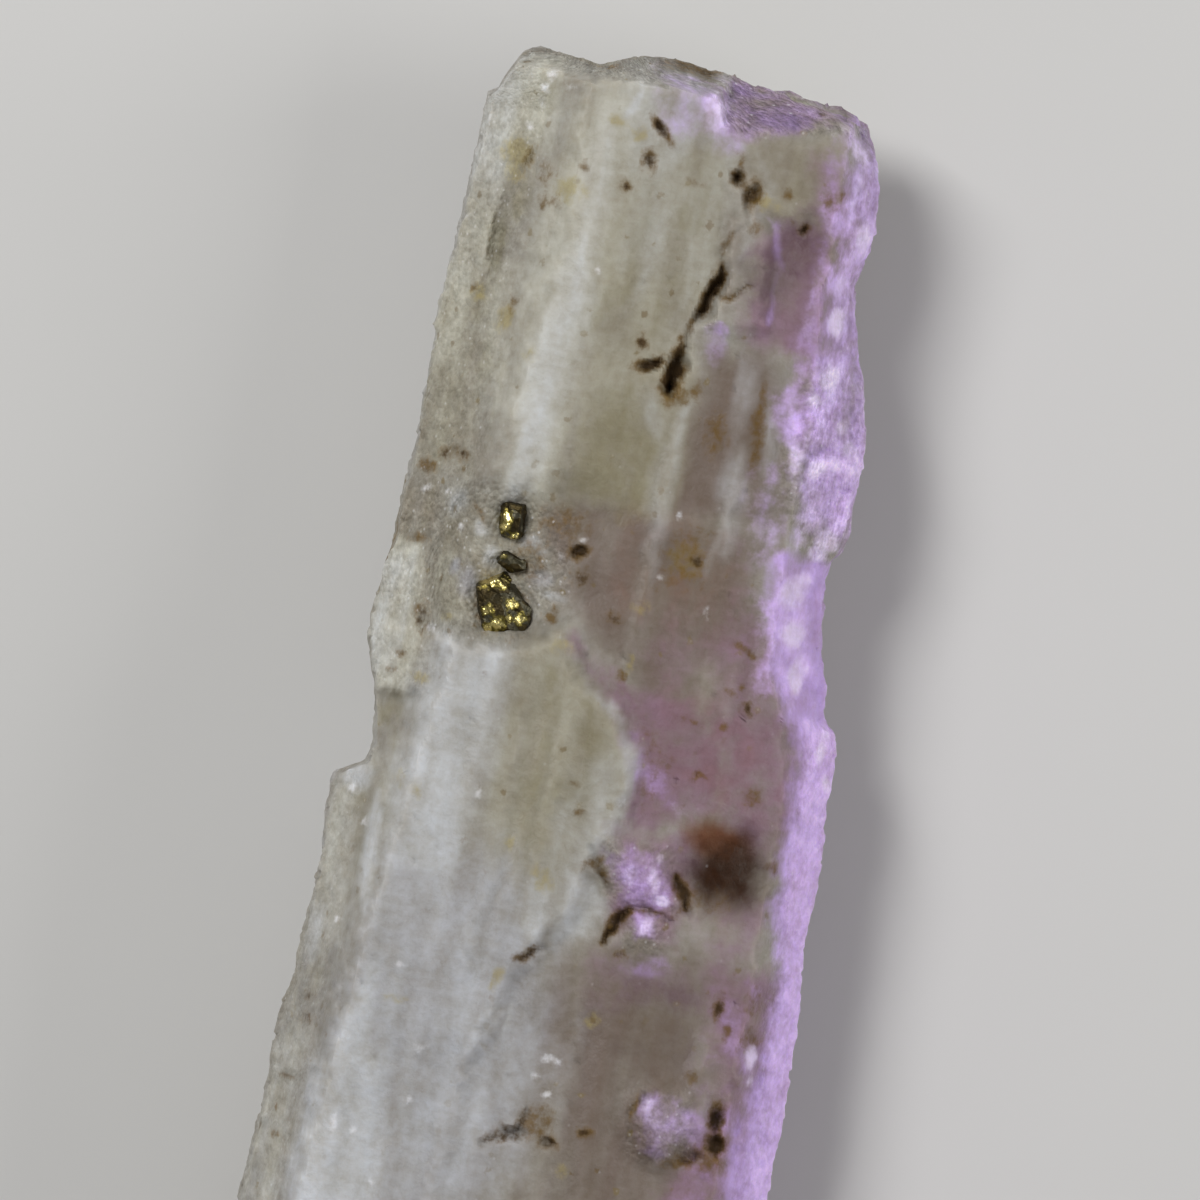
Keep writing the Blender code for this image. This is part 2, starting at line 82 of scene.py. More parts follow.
# The outline seen from above. Sides are (y, x), from the lower end up; ends are (x, y), left to right.
# The shape of an end is felt over this share of the length.
END_REACH = 1 / 12
LEFT_SIDE = (
    (-21.5, -6.2), (-20.5, -7.0), (-17.0, -7.5), (-12.8, -7.54), (-9.7, -7.38), (-6.7, -7.23),
    (-6.0, -7.03), (-0.1, -6.91), (0.33, -6.8), (0.62, -6.35), (0.8, -5.98), (1.45, -5.94),
    (3.2, -6.2), (4.4, -6.52), (6.84, -6.48), (7.5, -6.3), (8.7, -6.33), (9.9, -6.14),
    (14.2, -6.07), (17.9, -5.86), (21.0, -5.65),
)
RIGHT_SIDE = (
    (-21.4, 6.3), (-19.5, 7.1), (-16.0, 7.6), (-12.0, 7.73), (-2.7, 7.67), (1.3, 7.56),
    (2.2, 7.65), (3.4, 7.57), (3.85, 7.41), (4.2, 7.04), (5.1, 6.83), (7.2, 6.54),
    (8.4, 6.4), (9.0, 6.48), (9.4, 6.75), (10.3, 6.85), (12.7, 6.89), (13.9, 6.58),
    (15.05, 6.23), (17.25, 5.77), (17.9, 5.94), (18.7, 6.11), (20.18, 6.01), (21.34, 5.67),
    (21.84, 5.4),
)
UPPER_END = (
    (-5.65, 21.0), (-5.39, 21.62), (-5.02, 22.29), (-4.52, 22.62), (-3.45, 22.55), (-2.68, 22.42),
    (-2.33, 22.55), (-1.54, 22.92), (-0.8, 23.0), (0.0, 22.83), (1.24, 22.7), (1.88, 22.5),
    (2.94, 22.55), (3.42, 22.35), (4.66, 22.2), (5.4, 21.84),
)
LOWER_END = (
    (-6.2, -21.5), (-4.5, -22.3), (-2.5, -22.1), (-0.8, -22.9), (1.5, -23.0), (3.0, -22.2),
    (4.8, -22.4), (6.3, -21.4),
)

# The prism's edges: (y, x) of straight edges in plan, and (y, z) of heights that change along it.
LEFT_REFERENCE = ((-22.0, -8.06), (21.0, -5.71))
RIGHT_REFERENCE = ((-22.0, 7.5), (22.0, 5.7))
CREST = (
    (-22.0, -5.7), (-10.3, -5.1), (-3.16, -4.47), (3.69, -3.49), (9.83, -3.15), (12.96, -2.6),
    (17.0, -2.07), (20.6, -2.16), (23.0, -2.3),
)
CREST_HEIGHT = ((-23.0, 8.5), (-14.0, 8.9), (4.0, 8.4), (21.0, 7.7), (23.0, 7.5))
LEFT_WALL_TOP = ((-22.0, 5.8), (21.0, 5.1))
FLANK_EDGE = (
    (-20.0, 6.0), (-9.0, 6.25), (2.0, 6.3), (4.2, 5.9), (5.2, 5.3), (8.7, 5.15), (12.5, 5.3),
    (17.3, 5.0), (22.0, 5.0),
)
FLAT_BACK_ENDS = (-20.9, 20.6)

# Broken upper end: (x, y) where each face starts, with its fall in millimetres per millimetre.
UPPER_FACES = (
    (((-5.7, 21.3), (-2.0, 22.0), (1.2, 22.15), (6.0, 21.8)), 3.6),
    (((-6.0, 22.6), (0.8, 22.4), (1.3, 21.25), (2.0, 21.1), (3.2, 21.5), (5.4, 21.9)), 1.5),
)
# Broken lower end: the way each face looks, how far out along it the face starts, and its fall.
LOWER_FACES = (
    ((-0.5, -0.87), 21.1, 1.1),
    ((0.1, -0.99), 21.5, 2.6),
    ((0.62, -0.78), 18.4, 0.8),
    ((-0.2, -0.98), 20.9, 0.9),
)

# Broken ledges in the sloping back faces: (y, inset) along the left one and the right one. The ledges run
# at a slant, so a point counts as further up the crystal by this much for each millimetre it lies outwards.
LEDGE_SLANT = 1.1
LEFT_LEDGES = (
    (-22.0, 0.0), (-12.0, 0.2), (-11.6, 0.5), (-4.0, 0.2), (-3.2, 0.0), (7.0, -0.1), (7.3, 0.25),
    (13.0, 0.3), (16.0, 0.0),
)
RIGHT_LEDGES = (
    (-22.0, 0.3), (-13.0, 0.1), (-12.5, -0.1), (0.0, 0.1), (0.3, 0.5), (8.0, 0.3), (11.0, 0.0),
    (17.0, 0.0), (17.3, 0.35),
)

# Raised and sunken fields of the front: outline, height, and how wide the riser along the outline is.
FIELDS = {
    "block right of the long crack": (
        ((1.95, 18.6), (2.6, 18.9), (3.1, 18.3), (3.25, 17.2), (3.3, 16.2), (3.5, 15.4), (2.6, 15.2),
         (1.5, 15.3), (1.5, 16.0), (1.9, 17.0)), 0.3, 0.3),
    "hollow beside that block": (
        ((3.3, 18.6), (4.2, 18.9), (5.0, 18.0), (5.1, 16.5), (4.9, 15.3), (3.7, 15.0), (3.5, 16.0),
         (3.35, 17.3)), -0.3, 0.6),
    "upper right corner": (
        ((2.1, 21.0), (3.3, 21.4), (4.7, 21.7), (5.2, 20.5), (5.1, 19.2), (4.0, 18.9), (2.9, 19.0),
         (2.4, 19.6)), 0.14, 0.6),
    "upper left corner": (
        ((-5.6, 21.9), (-4.4, 22.3), (-4.3, 20.9), (-4.5, 19.4), (-5.0, 18.6), (-5.9, 18.9)), -0.2, 0.4),
    "white block on the left edge": (
        ((-6.6, 7.4), (-5.4, 7.3), (-4.95, 6.4), (-4.8, 4.9), (-4.7, 3.3), (-5.3, 3.05), (-6.1, 3.1),
         (-6.8, 4.6)), 0.35, 0.4),
    "smooth facet under it": (
        ((-6.2, 3.0), (-5.0, 3.0), (-5.0, 2.0), (-5.8, 1.0)), -0.3, 0.35),
    "lump beside the recess": (
        ((1.4, -0.4), (2.3, -0.15), (3.0, -0.4), (3.35, -1.1), (3.6, -1.75), (2.9, -2.1), (2.0, -1.85),
         (1.5, -1.2)), 0.6, 0.7),
    "small lump below it": (
        ((2.55, -2.35), (3.4, -2.3), (3.25, -3.0), (2.8, -3.45), (2.45, -3.1)), 0.4, 0.5),
    "ringed lump": (
        ((3.6, -7.9), (4.2, -7.4), (4.9, -7.55), (5.35, -8.3), (5.15, -9.1), (4.6, -9.5), (3.9, -9.25),
         (3.55, -8.6)), 0.75, 0.8),
    "low lump above it": (
        ((5.2, -5.6), (6.3, -5.2), (6.7, -6.4), (6.2, -7.5), (5.4, -7.6), (4.9, -6.8)), 0.35, 0.5),
}

# The layer that lies over the lower left of the crystal, and where along the length it fades out.
LAYER = (
    (-9.0, 5.1), (-4.6, 5.15), (-3.4, 5.0), (-2.0, 5.25), (-0.95, 5.75), (-0.5, 5.1), (-0.2, 4.4),
    (0.6, 3.9), (1.2, 3.2), (1.75, 2.4), (1.9, 1.4), (1.75, 0.3), (1.2, -0.7), (1.0, -1.6), (0.6, -2.8),
    (-0.1, -3.8), (-0.8, -4.9), (-1.2, -6.5), (-1.6, -8.5), (-2.2, -12.0), (-9.0, -12.0),
)
LAYER_HEIGHT = 0.65
LAYER_RISER = 0.9
LAYER_FADE = ((-10.0, 0.0), (-4.0, 1.0))

# The low stretch of the crest that holds the pyrite: (x, y) of its two ends, and (x, share) of its depth.
SADDLE_UPPER_END = (
    (-6.4, 8.7), (-4.5, 9.1), (-4.0, 9.5), (-3.3, 9.2), (-2.4, 9.35), (-1.6, 9.8), (-0.4, 9.9), (1.5, 9.2),
)
SADDLE_LOWER_END = (
    (-6.4, 5.3), (-4.6, 5.15), (-3.4, 5.0), (-2.0, 5.3), (-0.95, 5.8), (-0.3, 6.3), (1.5, 7.0),
)
SADDLE_SHARE = ((-6.0, 0.0), (-4.8, 1.0), (-2.3, 1.0), (-0.8, 0.4), (1.2, 0.0))
SADDLE_DEPTH = 0.75
SADDLE_UPPER_RISER = 1.7
SADDLE_LOWER_RISER = 1.1

# Ribs and grooves along the crystal: (y, x) line from its lower end up, width, and height, which is
# negative in a groove. They taper out over this length.
RIB_TAPER = 2.0
RIBS = (
    (((9.3, -3.2), (13.0, -2.9), (17.0, -2.3), (21.4, -2.2)), 1.7, 0.3),
    (((9.2, -4.6), (11.0, -4.3), (13.2, -4.6), (15.0, -4.75), (17.5, -4.8), (20.0, -4.45), (21.8, -4.2)),
     0.9, -0.4),
    (((-12.0, -6.2), (-6.0, -6.05), (-3.0, -5.85), (0.6, -5.8)), 0.6, -0.28),
    (((-19.0, -5.6), (-12.0, -5.45), (-4.0, -5.3), (1.2, -5.2)), 1.1, 0.25),
    (((8.0, 3.1), (10.0, 3.35), (12.6, 3.6)), 0.6, 0.2),
    (((5.0, 1.1), (9.0, 1.3), (13.0, 1.35)), 0.6, 0.2),
    (((2.0, 4.7), (7.0, 4.5), (11.0, 4.3), (15.0, 4.2)), 1.0, -0.2),
    (((-6.5, -2.1), (0.0, -1.5), (4.9, -1.3)), 0.8, -0.22),
    (((-3.6, -0.8), (0.0, -0.5), (4.0, -0.4)), 0.7, 0.2),
    (((-18.5, -4.4), (-9.0, -4.1), (-1.0, -3.6), (4.8, -3.2)), 1.1, -0.2),
    (((-19.5, -2.5), (-12.0, -2.2), (-5.0, -1.6)), 1.0, 0.2),
    (((-19.5, 1.4), (-12.0, 1.6), (-3.8, 1.8)), 1.2, -0.25),
    (((-19.0, 5.3), (-9.6, 5.3)), 1.1, 0.25),
)

# Flutes that follow the crystal's taper: how many across it, and their depth.
FLUTES_ACROSS = 15.0
FLUTE_DEPTH = 0.06

# Cracks: path, width and depth.
CRACKS = (
    (((2.0, 19.9), (2.3, 19.3), (2.5, 18.6), (2.1, 18.1), (1.83, 17.6), (1.9, 17.1)), 0.3, 0.2),
    (((1.5, 15.6), (1.3, 15.2), (1.2, 14.6)), 0.3, 0.3),
    (((1.9, 16.25), (2.3, 16.2), (2.8, 16.65)), 0.25, 0.2),
    (((0.9, -0.7), (1.25, -1.2), (1.7, -1.7)), 0.3, 0.3),
    (((1.77, -3.2), (2.0, -2.75), (2.37, -2.25), (2.9, -2.25), (3.5, -2.4)), 0.36, 0.4),
    (((3.6, -1.15), (3.8, -1.55), (4.05, -2.0)), 0.4, 0.5),
    (((-0.6, -4.25), (-0.3, -4.0), (0.0, -3.8)), 0.3, 0.3),
    (((-0.9, -9.8), (-0.5, -9.5), (0.0, -9.35), (0.3, -8.7)), 0.35, 0.25),
    (((3.5, -9.0), (3.45, -8.2), (3.75, -7.6)), 0.4, 0.25),
)

# Pits: centre, radii, turn in degrees, depth.
PITS = (
    ((-0.55, 20.85), (0.34, 0.16), -45.0, 0.35),
    ((-0.77, 19.82), (0.15, 0.22), 0.0, 0.2),
    ((1.95, 19.8), (0.22, 0.26), 20.0, 0.5),
    ((2.45, 19.35), (0.24, 0.36), -10.0, 0.4),
    ((1.78, 16.2), (0.3, 0.95), -16.0, 1.0),
    ((1.08, 13.8), (0.28, 0.75), -6.0, 0.9),
    ((0.3, 13.85), (0.38, 0.22), 20.0, 0.5),
    ((0.9, 13.2), (0.3, 0.22), 0.0, 0.5),
    ((4.1, 18.65), (0.16, 0.16), 0.0, 0.2),
    ((-4.35, 19.4), (0.16, 0.3), -20.0, 0.15),
    ((-4.85, 16.8), (0.3, 0.9), 0.0, 0.3),
    ((-0.85, 8.05), (0.28, 0.18), 35.0, 0.4),
    ((-5.1, 5.2), (0.34, 0.36), 0.0, 0.35),
    ((4.8, -0.55), (1.6, 1.4), 15.0, 0.4),
    ((5.95, -8.1), (0.26, 0.45), 0.0, 0.5),
    ((6.1, -8.8), (0.32, 0.3), 0.0, 0.6),
    ((5.35, -9.35), (0.42, 0.22), 15.0, 0.4),
    ((0.0, -9.35), (0.35, 0.24), 0.0, 0.35),
    ((1.05, -9.55), (0.24, 0.16), 0.0, 0.25),
)

# The shallow beds that the grains sit in, as pits are given.
BEDS = (
    ((-2.85, 6.1), (1.05, 1.2), 22.0, 0.3),
    ((-2.85, 7.35), (0.6, 0.4), 0.0, 0.2),
    ((-2.98, 8.65), (0.55, 0.8), 0.0, 0.25),
)

# The uneven stretch of the right flank: its outline, height and riser, and how much closer its lumps lie
# along the crystal than across it.
ROUGH_FLANK = ((5.0, 14.6), (6.0, 14.9), (7.4, 12.5), (7.4, 9.0), (6.1, 8.9), (5.2, 10.0), (4.9, 12.0))
ROUGH_FLANK_HEIGHT = 0.45
ROUGH_FLANK_RISER = 1.0
ROUGH_FLANK_SQUEEZE = 1.2
# The slow swell of the whole front.
SWELL_HEIGHT = 0.1

# How much rounder than in the solids the risers, ribs, cracks and pits are.
RISER_SPREAD = 1.8
RIB_SHARE = 0.6
CRACK_SHARE = 0.5
PIT_SHARE = 0.65
# How fast ribs and cracks fall away from their middle, in steps of their width, and how a pit rises from its
# floor with the square of the way to its edge.
RIB_FALL = 1.8
CRACK_FALL = 1.6
PIT_FLOOR = 1.2
PIT_FALL = 0.7

# The walls: bulge and swelling of the sides and the ends, how many swells lie above each other, and the
# height, squeeze and smooth share of the broken chips.
WALL_BULGES = {"sides": (0.12, 0.16), "ends": (0.1, 0.35)}
WALL_SWELLS = 3
WALL_CHIP = 0.07
CHIP_SQUEEZE = 1.6
CHIP_SWELL = 0.6

# Fine relief that only the surface has: the unevenness of the edges, the low steps, the grit among the
# broken faces, the specks of pits, and the grain of the sloping and the flat back.
RAGGED_EDGE = 0.1
RAGGED_FINE = 0.5
TERRACES = 3
TERRACE_RISER = 6
FACET_STEP = 0.6
GRIT_SHARE = 0.5
SPECK_PIT_DEPTH = 0.1
SPECK_PIT_REACH = (0.01, 0.02)
SPECK_PIT_FROM = 0.85
BACK_GRAIN = 0.06
SLOPE_GRAIN = 2 * BACK_GRAIN
BACK_FACET_SHARE = 0.7
FLAT_BACK_SQUEEZE = 0.4

# How the surface is rolled out for its patterns: over what distance from the crest or past an end the roll
# sets in, how much of a place's drop it adds, and where the ends begin.
ROLL_OUT = 1.5
ROLL_SHARE = 0.6
ROLLED_ENDS = (-20.5, 20.8)

# Smooth irregular swells: how wide and how long one rise is, and the seed of its random values. Sizes are in
# the units that the swell runs over: millimetres, but flutes across the crystal and swells up the walls.
SWELLS = {
    "flutes": (1.0, 12.0, 3),
    "rough flank": (1.0, 1.0, 5),
    "front": (1.6, 1.6, 11),
    "terraces": (1.6, 9.0, 21),
    "terrace edges": (0.7, 3.0, 22),
    "striations": (0.4, 4.0, 31),
    "ragged x": (0.5, 0.7, 51),
    "finely ragged x": (0.2, 0.26, 52),
    "ragged y": (0.55, 0.6, 53),
    "finely ragged y": (0.21, 0.24, 54),
    "back slopes": (0.5, 5.0, 61),
    "sides": (2.5, 1.0, 7),
    "ends": (1.8, 1.0, 9),
    "sides chips": (0.35, 0.5, 72),
    "ends chips": (0.35, 0.5, 74),
    "wall milk": (2.5, 6.0, 81),
    "wall tan": (1.8, 5.0, 82),
    "wall rust": (0.9, 1.3, 83),
}
# Irregular cells: their size, and the seed of their random values.
CELLS = {
    "broken faces": (0.5, 41),
    "grit": (0.3, 42),
    "speck pits": (0.8, 43),
    "back slopes": (0.8, 62),
    "flat back": (0.9, 63),
    "sides": (0.45, 71),
    "ends": (0.5, 73),
}
# The random values repeat after this many cells; each irregular cell has its middle and four values.
RANDOM_CELLS = 64
CELL_VALUES = 6

# Where the surface is broken or sugary: outline, how softly it ends, and how rough it is.
ROUGH_FIELDS = (
    (((-7.0, 22.6), (-4.0, 22.6), (-3.9, 20.0), (-4.3, 16.0), (-4.2, 12.0), (-4.2, 9.6), (-7.0, 9.0)),
     1.0, 0.5),
    (((-7.0, 9.5), (-3.6, 9.6), (-1.2, 9.0), (-1.0, 6.6), (-2.4, 5.0), (-4.9, 4.9), (-7.0, 5.5)), 1.0, 0.7),
    (((-7.2, 7.4), (-5.2, 7.3), (-4.7, 4.9), (-4.7, 3.2), (-7.2, 3.0)), 0.9, 0.45),
    (((5.0, 14.8), (8.0, 14.9), (8.0, 8.9), (6.1, 8.8), (5.0, 10.0), (4.6, 12.0)), 0.9, 0.6),
    (((5.0, 22.5), (8.0, 22.5), (8.0, 14.5), (5.6, 14.5), (5.3, 18.0)), 0.8, 0.35),
    (((-7.0, 24.0), (-6.0, 22.2), (-2.0, 22.1), (1.0, 22.2), (1.3, 21.2), (2.1, 21.0), (3.2, 21.4),
      (6.0, 21.7), (6.0, 24.0)), 0.4, 1.0),
    (((-8.0, 0.6), (-6.1, 0.4), (-6.2, -6.0), (-6.4, -14.0), (-8.0, -14.0)), 0.7, 0.3),
    (((1.2, -0.2), (3.2, -0.1), (3.8, -1.9), (3.5, -3.4), (2.4, -3.5), (1.3, -1.4)), 0.5, 0.4),
    (((3.3, -7.3), (5.2, -7.3), (5.6, -9.5), (3.4, -9.6)), 0.5, 0.4),
    (((6.7, 4.2), (9.0, 4.2), (9.0, -14.0), (6.8, -14.0)), 0.5, 0.3),
    (((-9.0, -20.0), (9.0, -18.0), (9.0, -25.0), (-9.0, -25.0)), 1.6, 0.9),
)

# Pyrite grains: the tilted blocks that each grain is the hull of, as centre, size and turns in degrees,
# and the places (x, y, reach) of their glints, painted as bright brassy metal over the tarnish.
GRAINS = {
    "pyrite_grain_upper": (
        (((-2.92, 8.68, 7.42), (0.54, 1.0, 0.8), (12.0, -18.0, -4.0)),
         ((-3.12, 8.6, 7.4), (0.4, 0.8, 0.74), (-20.0, 10.0, 14.0))),
        ((-3.2, 8.66, 0.26), (-3.2, 8.4, 0.24), (-2.9, 8.06, 0.26)),
    ),
    "pyrite_grain_middle": (
        (((-2.94, 7.4, 7.46), (0.56, 0.34, 0.5), (15.0, 12.0, -24.0)),
         ((-2.64, 7.3, 7.42), (0.36, 0.26, 0.5), (-10.0, 20.0, 8.0))),
        ((-3.1, 7.5, 0.12),),
    ),
    "pyrite_grain_lower": (
        (((-3.17, 6.4, 7.4), (0.74, 0.9, 0.86), (14.0, -16.0, 26.0)),
         ((-2.6, 5.72, 7.38), (0.94, 0.82, 0.86), (-12.0, 14.0, -12.0)),
         ((-3.1, 5.62, 7.36), (0.64, 0.7, 0.8), (8.0, 10.0, 12.0))),
        ((-3.5, 6.76, 0.34), (-3.24, 6.8, 0.32), (-2.96, 6.74, 0.24), (-2.6, 6.14, 0.22), (-2.3, 5.76, 0.22),
         (-2.6, 5.7, 0.16), (-3.3, 5.86, 0.2), (-2.94, 5.5, 0.3), (-3.2, 5.3, 0.2)),
    ),
}

# Stretches that more than one tint has: the violet face of the upper end, and the left edge low down.
END_FACE = ((1.2, 22.9), (1.2, 21.3), (2.0, 21.0), (3.3, 21.4), (5.2, 22.1), (5.0, 22.9))
LEFT_EDGE = ((-7.8, 0.6), (-6.0, 0.6), (-5.9, -4.0), (-6.4, -8.0), (-6.7, -22.0), (-8.4, -22.0))

